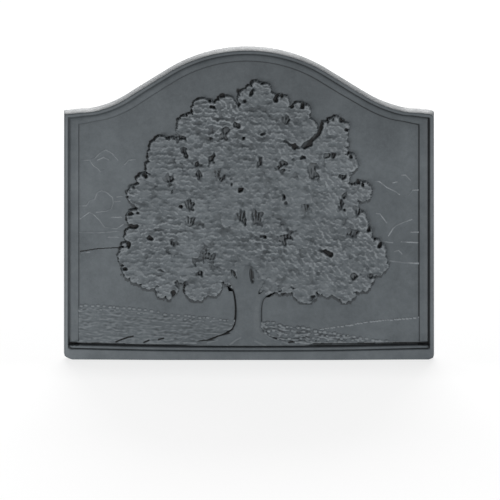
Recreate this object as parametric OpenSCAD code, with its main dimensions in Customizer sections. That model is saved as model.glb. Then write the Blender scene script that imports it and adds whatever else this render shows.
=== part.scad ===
// Cast iron fireback with an arched crest and an oak tree in relief,
// standing on its lower edge and on two steel legs bolted to its back.
// Millimetres. +X is right seen from the front, the relief faces -Y, +Z is up.
// The origin is the middle of the plate's lower edge, half-way through its thickness.

/* [Plate] */
// Overall width
plate_w = 610; // [590:5:660]
// Overall height at the middle of the crest
plate_h = 530; // [505:5:560]
// Height of the two shoulders at their outer ends
shoulder_h = 421.5; // [405:0.5:435]
// Thickness through the rim
plate_t = 22; // [20:0.5:27]
// Thickness of the flat panel inside the frame
slab_t = 12; // [10:0.5:15]
// Radius of the hollow curve over each shoulder
shoulder_r = 183; // [160:1:210]
// Length of the straight run between the crest and a shoulder curve
run_l = 77.4; // [50:0.2:110]
// Length of the level stretch at each outer end of the top edge
shoulder_flat = 10; // [0:1:20]
// Radius of the two lower corners
corner_r = 8; // [4:1:12]

/* [Frame moulding] */
// Width of the raised rim down the sides
rim_w = 7.2; // [5:0.2:9]
// Width of the raised rim along the top
rim_top_w = 8.4; // [5:0.1:10]
// Height of the plain bottom rail
rail_h = 17.8; // [12:0.2:20]
// Width of the sunk line between the rim and the inner band
quirk_w = 2.2; // [1:0.1:3]
// Depth of the sunk line below the inner band
quirk_d = 1.5; // [0.5:0.1:2.5]
// Width of the inner band down the sides
band_w = 15; // [9:0.2:18]
// Width of the inner band along the top
band_top_w = 11.4; // [7:0.2:14]
// How far the inner band stands proud of the panel
band_rise = 3; // [2:0.25:4]
// Width of the bead above the bottom rail
bead_w = 4.5; // [3:0.25:7]
// How far the bead stands proud of the panel
bead_rise = 9; // [6:0.25:9.5]
// Width of the sunk line between the bead and the picture
bead_gap = 2.5; // [1.5:0.25:6]

/* [Oak tree] */
// Width of the crown
crown_w = 447; // [380:1:470]
// Height of the crown
crown_h = 380; // [330:1:390]
// Sideways place of the crown's middle
crown_x = 7; // [-10:1:15]
// Height of the crown's middle
crown_z = 286; // [276:1:292]
// Relief of the crown at its edge
crown_edge = 4.5; // [3:0.25:6]
// Further relief at the middle of each leaf clump
crown_rise = 4; // [2:0.25:4.5]
// Relief left at the bottom of the gaps between the leaves
gap_floor = 1.5; // [0.75:0.25:2.5]
// Smallest half width of the trunk
trunk_half = 21.5; // [16:0.5:28]
// Relief of the trunk at its edges
trunk_edge = 3; // [2:0.25:4]
// Further relief along the middle of the trunk
trunk_rise = 5; // [3:0.25:6]
// Height at which the trunk meets the crown
trunk_top = 116; // [110:1:122]

/* [Ground] */
// Relief of the ground on both sides of the trunk
ground_rise = 2; // [1:0.25:3]
// Height of the field's far edge at the left of the picture
field_far_z = 93; // [85:1:104]
// Height of the field's edge beside the trunk
field_near_z = 68; // [60:1:80]
// Height of the slope beside the trunk
slope_near_z = 64; // [58:1:80]
// Distance from the middle to the slope's right-hand end
slope_reach = 242; // [200:1:258]
// Narrow gap kept between neighbouring reliefs
relief_gap = 0.3; // [0.2:0.05:0.6]

/* [Legs] */
// Distance between the two legs, middle to middle
legs_w = 360; // [300:5:440]
// Width of the flat bar
leg_w = 40; // [36:1:50]
// Thickness of the flat bar
leg_t = 6; // [5:0.5:8]
// Height of each upright
leg_h = 200; // [195:5:240]
// Reach of each foot behind the upright
foot_l = 110; // [105:5:150]
// Inner radius of the bend
bend_r = 3; // [2:0.5:6]
// Distance from the top of the gusset up to the middle of the lower bolt
gusset_gap = 26; // [16:1:40]
// Length of the gusset along the foot
gusset_l = 60; // [45:1:68]
// Thickness of the gusset
gusset_t = 6; // [5:0.5:8]
// Width left at the gusset's two tips
gusset_tip = 7; // [5:0.5:10]
// Distance of the hearth screw's hole behind the upright
anchor_y = 88; // [84:1:92]
// Diameter of the hearth screw's hole
anchor_d = 9; // [7:0.5:11]

/* [Bosses and bolts] */
// Distance from the top of each leg down to the middle of the upper bolt
bolt_inset = 22; // [14:1:32]
// Distance between the two bolts of a leg
bolt_pitch = 56; // [36:1:70]
// Diameter of each boss on the back
boss_d = 32; // [26:1:38]
// Height of each boss above the back
boss_h = 8; // [6:0.5:12]
// Diameter of the bolts
bolt_d = 8; // [6:1:9]
// Length of the bolts under the head
bolt_l = 20; // [18:1:22]
// Width across the flats of the bolt head
head_af = 13; // [12:0.5:15]
// Height of the bolt head
head_h = 5.3; // [4:0.1:7]
// Radial clearance between a bolt and its tapped hole
thread_clear = 0.05; // [0.02:0.01:0.1]
// Radial clearance between a bolt and the hole in the leg
leg_hole_clear = 0.5; // [0.3:0.1:0.8]
// Depth of each tapped hole from the face of its boss
tapped_depth = 14; // [12.5:0.5:15]
// Outer diameter of the flat washers
washer_d = 16; // [15:0.5:20]
// Thickness of the flat washers
washer_t = 1.6; // [1:0.1:2.5]
// Outer diameter of the spring washers
spring_d = 14.8; // [13:0.2:15]
// Thickness of the spring washers
spring_t = 2.2; // [1.6:0.1:3]
// Radial clearance inside both kinds of washer
washer_clear = 0.3; // [0.2:0.05:0.5]
// Width of the split in a spring washer
spring_split = 1.5; // [1:0.1:2.5]

/* [Hidden] */

IRON = [0.36, 0.38, 0.39];
BLACK_STEEL = [0.09, 0.09, 0.10];
ZINC = [0.62, 0.63, 0.64];

// levels through the thickness
back_y = plate_t / 2;
panel_y = back_y - slab_t;
rim_rise = plate_t - slab_t;
leg_y = back_y + boss_h;
washer_y = leg_y + leg_t;
spring_y = washer_y + washer_t;
head_y = spring_y + spring_t;

// insets of the frame's edges from the outline: [sides, top, bottom]
rim_in = [rim_w, rim_top_w, rail_h];
band_out = [rim_w + quirk_w, rim_top_w + quirk_w, rail_h + quirk_w];
band_in = [rim_w + quirk_w + band_w, rim_top_w + quirk_w + band_top_w, rail_h + quirk_w + bead_w];
bead_z = rail_h + quirk_w;
ground_z = bead_z + bead_w + bead_gap;
picture_x = plate_w / 2 - band_in[0] - relief_gap;

// the top edge: both_r is the sum of the crest's and a shoulder's radius at which
// the straight run is tangent to both curves
shoulder_cx = plate_w / 2 - shoulder_flat;
shoulder_cz = shoulder_h + shoulder_r;
climb = plate_h - shoulder_h;
both_r = (shoulder_cx * shoulder_cx + climb * climb - run_l * run_l) / (2 * climb);
crest_r = both_r - shoulder_r;
crest_cz = plate_h - crest_r;
run_angle = atan2(both_r, run_l) - atan2(shoulder_cz - crest_cz, shoulder_cx);

arc_steps = 24;
corner_steps = 5;
inner_corner_r = 3;
over = 1;

// crown clumps along the edge: [x, z, radius] from the crown's middle,
// drawn for a crown 447 wide and 380 high
clump_w = 447;
clump_h = 380;
EDGE_CLUMPS = [
    [11, 166, 24], [40, 149, 18], [59, 126, 20], [79, 135, 17], [91, 110, 18], [135, 102, 24],
    [136, 79, 22], [155, 47, 20], [140, 24, 20], [178, 0, 19], [155, -22, 22], [171, -48, 20],
    [179, -74, 20], [196, -100, 24], [201, -124, 22], [178, -151, 22], [151, -168, 22],
    [121, -158, 22], [85, -168, 24], [48, -156, 22], [23, -154, 24], [14, -142, 28], [-24, -140, 28],
    [-69, -161, 20], [-95, -168, 21], [-112, -140, 20], [-144, -165, 20], [-172, -146, 23],
    [-197, -134, 21], [-202, -108, 23], [-192, -76, 21], [-193, -44, 18], [-187, -6, 22],
    [-177, 16, 17], [-157, 39, 22], [-152, 66, 24], [-150, 80, 17], [-127, 74, 20], [-105, 111, 23],
    [-83, 142, 20], [-67, 136, 20], [-47, 148, 18], [-32, 129, 20], [-13, 162, 15]
];
spiral_clumps = 60;
spiral_turn = 137.5;
spiral_reach = 0.82;
spiral_r = 29;
spiral_mid_z = -8;
crown_rays = 168;
crown_rings = 16;

// the main gaps between the leaves: [x, z, width, height, turn] from the crown's middle,
// drawn for the same crown
LEAF_GAPS = [
    [-113, 91, 20, 9, 0], [-49, 100, 11, 22, -15], [15, 100, 10, 17, 20], [53, 123, 15, 11, -40],
    [-114, 66, 11, 18, 15], [-68, 58, 8, 18, -15], [11, 50, 9, 17, 10], [125, 63, 27, 8, 0],
    [-94, 48, 16, 8, -10], [-91, 30, 12, 14, 0], [-55, 28, 29, 15, -35], [46, 43, 25, 17, 10],
    [98, 33, 15, 28, 15], [146, 28, 10, 15, 45], [-136, 20, 19, 16, -30], [-105, -19, 15, 25, 5],
    [-103, -49, 25, 15, -20], [-20, -42, 18, 20, -50], [4, -42, 16, 22, 0], [50, -8, 9, 18, 35],
    [88, -25, 19, 14, 0], [145, -16, 10, 29, -15], [173, -32, 10, 15, 10], [50, -78, 25, 20, 20],
    [158, -72, 27, 16, -10], [-134, -88, 18, 10, 5], [-78, -109, 20, 25, 30], [118, -102, 27, 7, -25],
    [-89, -139, 16, 10, 0], [-32, -139, 10, 19, 27], [-2.5, -143, 10, 30, 4], [-119, -157, 19, 11, 35],
    [167, -145, 12, 14, -25]
];
gap_sides = 10;

// the long hollow between two upper clumps: [x, z, half height]
LEAF_HOLLOW = [
    [46, 90, 2.5], [54, 84, 2.5], [62, 79.5, 3], [73, 75, 3], [83, 75, 4],
    [91, 80, 7], [99, 88, 8.5], [106, 98, 7], [112, 110, 2]
];

// trunk outline, from the ground to the crown: how far the limbs and the roots spread to
// each side, and the height over which that spread dies away
trunk_rows = 22;
trunk_cols = 10;
left_limb = [5, 14];
right_limb = [30, 7];
left_root = [76, 10.5];
right_root = [36, 9];

// the roots lie lower than the trunk: share of the relief lost at the ground, and its height
root_fall = 0.45;
root_fall_z = 14;

// the field's far edge bends a little upwards half-way along
field_mid_x = 163;
field_bend = 1;
field_mid_z = (field_far_z + field_near_z) / 2 + field_bend;

// the slope falls away to a thin edge at its right-hand end
slope_end_t = 2;
slope_end_z = ground_z + slope_end_t;

// places on the legs, and the snipped corner of the gusset
bolt_high_z = leg_h - bolt_inset;
bolt_low_z = bolt_high_z - bolt_pitch;
gusset_h = bolt_low_z - gusset_gap - leg_t;
leg_x = legs_w / 2;
anchor_place_y = washer_y + anchor_y;
snip_clear = 2;
gusset_snip = bend_r + snip_clear;
head_chamfer = 0.3;
head_slope = 30;
bolt_hole_d = bolt_d + 2 * leg_hole_clear;
washer_hole_d = bolt_d + 2 * washer_clear;

// ---- plate outline ----

function crest_point(a, inset) =
    [(crest_r - inset) * sin(a), crest_cz + (crest_r - inset) * cos(a)];

function shoulder_point(a, inset) =
    [shoulder_cx - (shoulder_r + inset) * sin(a), shoulder_cz - (shoulder_r + inset) * cos(a)];

function shoulder_end_angle(side, top) = asin(max(0, side - shoulder_flat) / (shoulder_r + top));

// right half of the top edge, from the shoulder's outer end to the middle of the crest
function half_top(side, top) = concat(
    side < shoulder_flat ? [[plate_w / 2 - side, shoulder_h - top]] : [],
    [for (i = [0 : arc_steps])
        let (a0 = shoulder_end_angle(side, top))
        shoulder_point(a0 + (run_angle - a0) * i / arc_steps, top)],
    [for (i = [0 : arc_steps]) crest_point(run_angle * (1 - i / arc_steps), top)]);

function mirrored(points) = [for (i = [len(points) - 2 : -1 : 0]) [-points[i][0], points[i][1]]];

function lower_corner(side, bottom, r) =
    [for (i = [0 : corner_steps])
        let (a = -90 + 90 * i / corner_steps)
        [plate_w / 2 - side - r + r * cos(a), bottom + r + r * sin(a)]];

function outline(inset, r) =
    let (
        top = half_top(inset[0], inset[1]),
        corner = lower_corner(inset[0], inset[2], r))
    concat(corner, top, mirrored(top), [for (i = [corner_steps : -1 : 0]) [-corner[i][0], corner[i][1]]]);

// ---- crown relief ----

// distance from the crown's middle to the far side of a clump, along a ray
function ray_exit(clump, a) =
    let (
        along = clump[0] * cos(a) + clump[1] * sin(a),
        aside = clump[1] * cos(a) - clump[0] * sin(a),
        room = clump[2] * clump[2] - aside * aside)
    room > 0 ? along + sqrt(room) : 0;

function crown_reach(a) =
    let (
        far = max([for (c = EDGE_CLUMPS) ray_exit(c, a)]),
        fall = -sin(a),
        scaled = norm([far * cos(a) * crown_w / clump_w, far * sin(a) * crown_h / clump_h]),
        floor_z = crown_z - trunk_top,
        lands_x = fall > 0.1 ? crown_x + cos(a) / fall * floor_z : plate_w,
        past_left = lands_x > trunk_left(trunk_top) - relief_gap,
        past_right = lands_x > trunk_right(trunk_top) + relief_gap)
    past_left && !past_right ? min(scaled, floor_z / fall) : scaled;

SPIRAL_CLUMPS = [for (k = [1 : spiral_clumps])
    let (far = spiral_reach * sqrt(k / spiral_clumps))
    [far * clump_w / 2 * cos(k * spiral_turn),
     spiral_mid_z + far * clump_h / 2 * sin(k * spiral_turn), spiral_r]];

CLUMPS = concat(EDGE_CLUMPS, SPIRAL_CLUMPS);

function dome(clump, x, z) =
    let (d = norm([x - clump[0], z - clump[1]]) / clump[2])
    d < 1 ? 1 - d * d : 0;

function crown_relief(x, z) =
    crown_edge + crown_rise * max([for (c = CLUMPS) dome(c, x, z)]);

function crown_point(ray, ring) =
    let (
        a = 360 * ray / crown_rays,
        reach = crown_reach(a) * ring / crown_rings,
        x = reach * cos(a),
        z = reach * sin(a),
        edge = ring == crown_rings,
        rise = edge ? crown_edge : crown_relief(x * clump_w / crown_w, z * clump_h / crown_h))
    [crown_x + x, panel_y - rise, crown_z + z];

function flat_point(p) = [p[0], panel_y, p[2]];

// a place drawn from the crown's middle, on the crown as it is now
function on_crown(x, z) = [crown_x + x * crown_w / clump_w, crown_z + z * crown_h / clump_h];

// ---- trunk outline ----

function half_trunk(limb, root, z) =
    trunk_half + limb[0] * exp((z - trunk_top) / limb[1]) + root[0] * exp((ground_z - z) / root[1]);

function trunk_left(z) = -half_trunk(left_limb, left_root, z);

function trunk_right(z) = half_trunk(right_limb, right_root, z);

function trunk_z(row) = ground_z + (trunk_top - ground_z) * row / trunk_rows;

function trunk_relief(across, z) =
    (trunk_edge + trunk_rise * (1 - across * across)) * (1 - root_fall * exp((ground_z - z) / root_fall_z));

// ---- small helpers ----

// extrudes a drawing in the X-Z plane from depth y towards the front
module relief_from(y, rise) {
    translate([0, y, 0]) rotate([90, 0, 0]) linear_extrude(height = rise) children();
}

// places a child, drawn along +Y from 0, at a bolt
module at_bolt(side, z, y) {
    translate([side * leg_x, y, z]) rotate([-90, 0, 0]) children();
}

module ring(outer_d, inner_d, t) {
    difference() {
        cylinder(d = outer_d, h = t, $fn = 64);
        translate([0, 0, -over]) cylinder(d = inner_d, h = t + 2 * over, $fn = 64);
    }
}

// ---- the casting ----

module frame_moulding() {
    relief_from(panel_y, rim_rise) difference() {
        polygon(outline([0, 0, 0], corner_r));
        polygon(outline(rim_in, inner_corner_r));
    }
    relief_from(panel_y, band_rise) difference() {
        polygon(outline(band_out, inner_corner_r));
        polygon(outline(band_in, inner_corner_r));
    }
    relief_from(panel_y, band_rise - quirk_d) difference() {
        polygon(outline(rim_in - [over, over, over], inner_corner_r));
        polygon(outline(band_out + [over, over, over], inner_corner_r));
    }
    relief_from(panel_y, bead_rise)
        translate([-plate_w / 2 + rim_w + quirk_w, bead_z])
            square([plate_w - 2 * (rim_w + quirk_w), bead_w]);
}

module fireback_plate() {
    color(IRON) difference() {
        union() {
            relief_from(back_y, slab_t) polygon(outline([0, 0, 0], corner_r));
            frame_moulding();
            for (side = [-1, 1], z = [bolt_low_z, bolt_high_z])
                at_bolt(side, z, back_y - over) cylinder(d = boss_d, h = boss_h + over, $fn = 64);
        }
        for (side = [-1, 1], z = [bolt_low_z, bolt_high_z])
            at_bolt(side, z, leg_y - tapped_depth)
                cylinder(r = bolt_d / 2 + thread_clear, h = tapped_depth + over, $fn = 48);
    }
}

module leaf_gap(x, z, width, height, turn) {
    polygon([for (k = [0 : gap_sides - 1])
        let (
            a = 360 * k / gap_sides,
            along = width / 2 * cos(a),
            aside = height / 2 * sin(a))
        on_crown(
            x + along * cos(turn) - aside * sin(turn),
            z + along * sin(turn) + aside * cos(turn))]);
}

module leaf_hollow() {
    polygon(concat(
        [for (p = LEAF_HOLLOW) on_crown(p[0], p[1] + p[2])],
        [for (i = [len(LEAF_HOLLOW) - 1 : -1 : 0])
            let (p = LEAF_HOLLOW[i])
            on_crown(p[0], p[1] - p[2])]));
}

module oak_crown() {
    color(IRON) difference() {
        leaf_mass();
        relief_from(panel_y - gap_floor, crown_edge + crown_rise + over) {
            for (gap = LEAF_GAPS) leaf_gap(gap[0], gap[1], gap[2], gap[3], gap[4]);
            leaf_hollow();
        }
    }
}

module leaf_mass() {
    middle = [crown_x, panel_y - crown_relief(0, 0), crown_z];
    front = [for (ring = [1 : crown_rings], ray = [0 : crown_rays - 1]) crown_point(ray, ring)];
    foot = [for (ray = [0 : crown_rays - 1]) flat_point(crown_point(ray, crown_rings))];
    back = flat_point(middle);
    first_foot = 1 + len(front);
    back_index = first_foot + crown_rays;
    polyhedron(
        points = concat([middle], front, foot, [back]),
        faces = concat(
            [for (j = [0 : crown_rays - 1]) [0, 1 + (j + 1) % crown_rays, 1 + j]],
            [for (i = [1 : crown_rings], j = [0 : crown_rays - 1], half = [0, 1])
                let (
                    k = (j + 1) % crown_rays,
                    a = 1 + (i - 1) * crown_rays + j,
                    b = 1 + (i - 1) * crown_rays + k,
                    c = 1 + i * crown_rays + k,
                    d = 1 + i * crown_rays + j)
                half == 0 ? [a, b, c] : [a, c, d]],
            [for (j = [0 : crown_rays - 1])
                [back_index, first_foot + j, first_foot + (j + 1) % crown_rays]]));
}

module oak_trunk() {
    wide = trunk_cols + 1;
    front = [for (row = [0 : trunk_rows], col = [0 : trunk_cols])
        let (
            z = trunk_z(row),
            across = 2 * col / trunk_cols - 1,
            x = trunk_left(z) + (trunk_right(z) - trunk_left(z)) * col / trunk_cols)
        [x, panel_y - trunk_relief(across, z), z]];
    count = len(front);
    color(IRON) polyhedron(
        points = concat(front, [for (p = front) flat_point(p)]),
        faces = concat(
            [for (i = [0 : trunk_rows - 1], j = [0 : trunk_cols - 1], half = [0, 1])
                let (a = i * wide + j)
                half == 0 ? [a, a + wide, a + wide + 1] : [a, a + wide + 1, a + 1]],
            [for (i = [0 : trunk_rows - 1], j = [0 : trunk_cols - 1], half = [0, 1])
                let (a = count + i * wide + j)
                half == 0 ? [a, a + wide + 1, a + wide] : [a, a + 1, a + wide + 1]],
            [for (i = [0 : trunk_rows - 1], side = [0, trunk_cols])
                let (a = i * wide + side, b = a + wide)
                side == 0 ? [a, a + count, b + count, b] : [a, b, b + count, a + count]],
            [for (j = [0 : trunk_cols - 1], row = [0, trunk_rows])
                let (a = row * wide + j, b = a + 1)
                row == 0 ? [a, b, b + count, a + count] : [a, a + count, b + count, b]]));
}

module left_field() {
    rows = [for (row = [0 : trunk_rows]) if (trunk_z(row) < field_near_z) trunk_z(row)];
    color(IRON) relief_from(panel_y, ground_rise) polygon(concat(
        [[-picture_x, ground_z]],
        [for (z = rows) [trunk_left(z) - relief_gap, z]],
        [[trunk_left(field_near_z) - relief_gap, field_near_z],
         [-field_mid_x, field_mid_z],
         [-picture_x, field_far_z]]));
}

module right_slope() {
    rows = [for (row = [0 : trunk_rows]) if (trunk_z(row) < slope_near_z) trunk_z(row)];
    color(IRON) relief_from(panel_y, ground_rise) polygon(concat(
        [for (z = rows) [trunk_right(z) + relief_gap, z]],
        [[trunk_right(slope_near_z) + relief_gap, slope_near_z],
         [slope_reach, slope_end_z],
         [slope_reach, ground_z]]));
}

// ---- a leg: one bent flat bar and its welded gusset ----

module leg_profile() {
    outer = bend_r + leg_t;
    translate([leg_y + outer, 0]) square([leg_t + foot_l - outer, leg_t]);
    translate([leg_y, outer]) square([leg_t, leg_h - outer]);
    intersection() {
        translate([leg_y + outer, outer]) difference() {
            circle(r = outer, $fn = 64);
            circle(r = bend_r, $fn = 64);
        }
        translate([leg_y, 0]) square(outer);
    }
}

module leg_bar(side) {
    color(BLACK_STEEL) difference() {
        translate([side * leg_x, 0, 0])
            rotate([90, 0, 90]) linear_extrude(height = leg_w, center = true) leg_profile();
        for (z = [bolt_low_z, bolt_high_z])
            at_bolt(side, z, leg_y - over) cylinder(d = bolt_hole_d, h = leg_t + 2 * over, $fn = 48);
        translate([side * leg_x, anchor_place_y, -over])
            cylinder(d = anchor_d, h = leg_t + 2 * over, $fn = 48);
    }
}

module leg_gusset(side) {
    color(BLACK_STEEL) translate([side * leg_x, washer_y, leg_t])
        rotate([90, 0, 90]) linear_extrude(height = gusset_t, center = true) polygon([
            [gusset_snip, 0], [gusset_l, 0], [gusset_l, gusset_tip],
            [gusset_tip, gusset_h], [0, gusset_h], [0, gusset_snip]]);
}

// ---- fasteners, drawn along +Z with the seat at 0 ----

module hex_bolt() {
    color(ZINC) {
        intersection() {
            cylinder(d = head_af / cos(30), h = head_h, $fn = 6);
            rotate_extrude($fn = 64) polygon([
                [0, 0], [head_af, 0],
                [head_af, head_h - (head_af / 2 + head_chamfer) * tan(head_slope)],
                [head_af / 2 - head_chamfer, head_h], [0, head_h]]);
        }
        translate([0, 0, -bolt_l]) cylinder(d = bolt_d, h = bolt_l + over, $fn = 48);
    }
}

module flat_washer() {
    color(ZINC) ring(washer_d, washer_hole_d, washer_t);
}

module spring_washer() {
    color(ZINC) difference() {
        ring(spring_d, washer_hole_d, spring_t);
        translate([0, -spring_split / 2, -over]) cube([spring_d, spring_split, spring_t + 2 * over]);
    }
}

fireback_plate();
oak_crown();
oak_trunk();
left_field();
right_slope();
leg_bar(-1);  // left_leg_bar
leg_bar(1);  // right_leg_bar
leg_gusset(-1);  // left_leg_gusset
leg_gusset(1);  // right_leg_gusset
at_bolt(-1, bolt_high_z, head_y) hex_bolt();  // left_upper_bolt
at_bolt(-1, bolt_low_z, head_y) hex_bolt();  // left_lower_bolt
at_bolt(1, bolt_high_z, head_y) hex_bolt();  // right_upper_bolt
at_bolt(1, bolt_low_z, head_y) hex_bolt();  // right_lower_bolt
at_bolt(-1, bolt_high_z, spring_y) spring_washer();  // left_upper_spring_washer
at_bolt(-1, bolt_low_z, spring_y) spring_washer();  // left_lower_spring_washer
at_bolt(1, bolt_high_z, spring_y) spring_washer();  // right_upper_spring_washer
at_bolt(1, bolt_low_z, spring_y) spring_washer();  // right_lower_spring_washer
at_bolt(-1, bolt_high_z, washer_y) flat_washer();  // left_upper_flat_washer
at_bolt(-1, bolt_low_z, washer_y) flat_washer();  // left_lower_flat_washer
at_bolt(1, bolt_high_z, washer_y) flat_washer();  // right_upper_flat_washer
at_bolt(1, bolt_low_z, washer_y) flat_washer();  // right_lower_flat_washer
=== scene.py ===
"""Looks of a cast iron fireback: an arched plate with an oak in relief, on two bolted steel legs.

Lengths are in millimetres until a vertex is made, and the axes are the CAD's: X to the right,
Y away from the viewer and Z up. "Rise" is how far a surface stands in front of the panel, and
"soot and painted light" is how dark a surface is painted: 1 is black, with soot and painted
shade and shadow, and below 0 it is bright, with rubbed metal and painted highlights. A
[start, length] pair is where a smooth step starts and over what length it runs.
"""

import math
from functools import cached_property

import bmesh
import bpy
import numpy as np
from mathutils import Matrix, Vector

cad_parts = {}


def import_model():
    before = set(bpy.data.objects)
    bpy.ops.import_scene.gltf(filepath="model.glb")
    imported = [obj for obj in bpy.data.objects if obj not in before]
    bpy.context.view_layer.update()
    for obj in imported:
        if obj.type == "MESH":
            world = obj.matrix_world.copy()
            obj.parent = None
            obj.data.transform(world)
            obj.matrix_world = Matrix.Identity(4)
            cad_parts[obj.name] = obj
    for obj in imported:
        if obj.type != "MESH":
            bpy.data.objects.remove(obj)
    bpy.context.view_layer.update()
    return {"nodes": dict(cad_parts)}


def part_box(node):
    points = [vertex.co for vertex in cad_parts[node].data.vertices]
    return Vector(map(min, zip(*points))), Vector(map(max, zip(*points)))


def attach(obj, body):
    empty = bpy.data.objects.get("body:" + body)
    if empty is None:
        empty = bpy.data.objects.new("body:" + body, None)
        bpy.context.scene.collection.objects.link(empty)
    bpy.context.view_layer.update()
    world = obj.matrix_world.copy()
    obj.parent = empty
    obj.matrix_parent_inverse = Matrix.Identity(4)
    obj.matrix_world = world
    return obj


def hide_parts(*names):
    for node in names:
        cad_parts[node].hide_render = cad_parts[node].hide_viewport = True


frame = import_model()

MM = 0.001
plate_low, plate_high = (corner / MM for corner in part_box("fireback_plate"))
gusset_low, gusset_high = (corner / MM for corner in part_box("left_leg_gusset"))

# ---- the plate's sizes ----

PLATE_W = plate_high.x - plate_low.x
PLATE_H = plate_high.z - plate_low.z
RIM_Y = plate_low.y
BOSS_Y = plate_high.y
BACK_Y = 11
PANEL_Y = -1
SHOULDER_H = 421.7
SHOULDER_R = 183
SHOULDER_FLAT = 10
STRAIGHT_RUN = 77.4
# worn corners, across and up: at the right and at the left
LOWER_CORNERS = ((8, 3.6), (13, 6.5))
UPPER_CORNERS = ((9, 5), (5, 1.4))
# frame lines up to this inset turn the whole worn corners, the others this share of them
CORNER_INSET = 3
INNER_CORNERS = 0.4
# how the lower corners are worn, between round at 1 and a straight chamfer at 2
CORNER_CUT = 1.6
# the shoulders swell a little, this far in from the sides, over this width and down to this depth
SHOULDER_SWELL = 1.5
SWELL_PLACE = (25, 14)
SWELL_DEPTH = 12
# the crest stands a little to the left: [start, length]
CREST_DRIFT = -2.7
CREST_DRIFT_PLACE = (421, 39)
# the foot is bowed up at its ends: [start, length]
BOTTOM_BOW = 0.9
BOW_PLACE = (120, 170)
RAIL_SAG = 3.0
SAG_INSET = 20
SAG_FADE = 60
# the groove above the bead, with [start, length] of its walls and of its painted shadow
GROOVE_Z = 27.0
GROOVE_HALF = 1.8
GROOVE_Y = -1.2
GROOVE_INSET = 8.5
GROOVE_CUT = (GROOVE_HALF + 1, 1.2)
GROOVE_SHADOW = (GROOVE_HALF + 0.8, 1.2)
# from here outwards the groove cuts through the side bands
GROOVE_ENDS_X = 278
BEAD_END_BLEND = 7
# how much brighter the rim's face is painted, at the left and at the right, and where it fades out:
# rubbed metal with a painted highlight, stronger at the left
RIM_RUB_AND_HIGHLIGHT = (0.5, 0.22)
RUB_TOP = (SHOULDER_H + 10, 40)
RUB_FOOT = (8, 20)
# painted shade on the foot's lines in the middle and further at both ends, and on the others, darker
# at the right
LOW_LINES = (32, 10)
FOOT_SHADE = (0.85, 0.55)
RIGHT_SHADE = 0.5

# bosses and tapped holes on the back
LEG_X = 180
BOLT_Z = (122, 178)
BOSS_R = 16
BOSS_FILLET = 2.2
BOSS_EDGE = 0.8
BOSS_SIDES = 48
HOLE_R = 4.05
HOLE_EDGE = 0.6
HOLE_END_Y = 5

# edges turned more sharply than this are shaded as edges, on reliefs and on the casting
SMOOTH_ANGLE = 40
CASTING_SMOOTH_ANGLE = 50

# points along the edges of the plate's outline, for each half
BOTTOM_POINTS = 60
CORNER_POINTS = 8
LOW_SIDE_POINTS = 40
LOW_SIDE_Z = 60
SIDE_POINTS = 40
TOP_POINTS = 170
ARC_POINTS = 60

# the frame's cross-section, from the back of the plate round to the panel:
# insets at the sides, top and bottom, depths at the sides and top and at the bottom,
# share of the rail's sag, and the line's painted light: above 0 painted shade in the creases,
# partly blacking, and below 0 the rim's rubbed metal with a painted highlight
FRAME_SECTION = [
    (1.0, 1.0, 0.9, 11.0, 11.0, 0, 0.0),
    (0.3, 0.3, 0.3, 10.7, 10.7, 0, 0.0),
    (0.0, 0.0, 0.0, 9.9, 9.9, 0, 0.0),
    (1.2, 2.1, 0.0, -9.2, -9.5, 0, 0.0),
    (1.5, 2.5, 0.3, -10.3, -10.5, 0, 0.0),
    (2.0, 3.0, 0.8, -10.8, -10.85, 0, 0.0),
    (2.8, 3.7, 1.6, -11.0, -11.0, 0, -0.1),
    (4.8, 5.4, 8.0, -11.0, -11.0, 0.5, -0.15),
    (5.8, 6.6, 16.2, -10.75, -10.9, 1, -0.15),
    (6.5, 7.4, 17.2, -10.0, -10.5, 1, 0.0),
    (7.0, 8.0, 17.9, -8.5, -9.4, 1, 0.2),
    (7.6, 8.7, 18.4, -2.9, -8.3, 1, 0.6),
    (8.3, 9.5, 18.9, -2.3, -8.0, 1, 0.8),
    (9.3, 10.4, 19.4, -2.4, -8.3, 1, 0.5),
    (10.6, 11.3, 19.9, -3.1, -9.4, 1, 0.1),
    (12.6, 12.6, 20.6, -3.8, -10.0, 1, 0.0),
    (17.0, 15.8, 22.0, -4.1, -10.2, 1, 0.0),
    (22.6, 19.9, 23.3, -3.9, -9.8, 1, 0.0),
    (23.7, 20.9, 24.0, -3.5, -8.9, 1, 0.1),
    (24.3, 21.4, 24.6, -2.5, -6.5, 1, 0.45),
    (24.7, 21.8, 25.0, -1.3, -1.5, 1, 0.75),
    (25.3, 22.4, 25.7, -1.0, -1.0, 1, 0.6),
    (27.0, 24.0, 28.0, -1.0, -1.0, 1, 0.05),
    (34.0, 31.0, 34.5, -1.0, -1.0, 1, 0.0),
]

# ---- the oak ----

CROWN_X = 7
CROWN_Z = 286
CROWN_STEP = 0.8
CROWN_SIDES = (-228, 240)
CROWN_HEIGHTS = (92, 486)
LEAF_SEED = 11
# leaf clumps along the crown's outline: [x, z, radius] from the crown's middle
EDGE_CLUMPS = [
    (11, 166, 24), (40, 150, 20), (59, 126, 20), (79, 136, 18.5), (91, 110, 18), (135, 104, 25),
    (136, 79, 22), (155, 47, 20), (140, 24, 20), (178, 0, 19), (155, -22, 22), (171, -48, 20),
    (179, -74, 20), (196, -100, 24), (201, -124, 22), (178, -151, 22), (151, -168, 22),
    (121, -158, 22), (85, -168, 24), (48, -156, 22), (23, -154, 24), (14, -142, 28), (-24, -140, 28),
    (-69, -161, 20), (-95, -168, 21), (-112, -140, 20), (-144, -165, 20), (-172, -146, 23),
    (-197, -134, 21), (-202, -108, 23), (-192, -76, 21), (-193, -44, 18), (-187, -6, 22),
    (-177, 16, 17), (-157, 39, 22), (-152, 66, 24), (-150, 80, 17), (-127, 74, 20), (-105, 111, 23),
    (-83, 142, 20), (-67, 136, 20), (-47, 148, 18), (-32, 129, 20), (-13, 162, 15),
]
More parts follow.
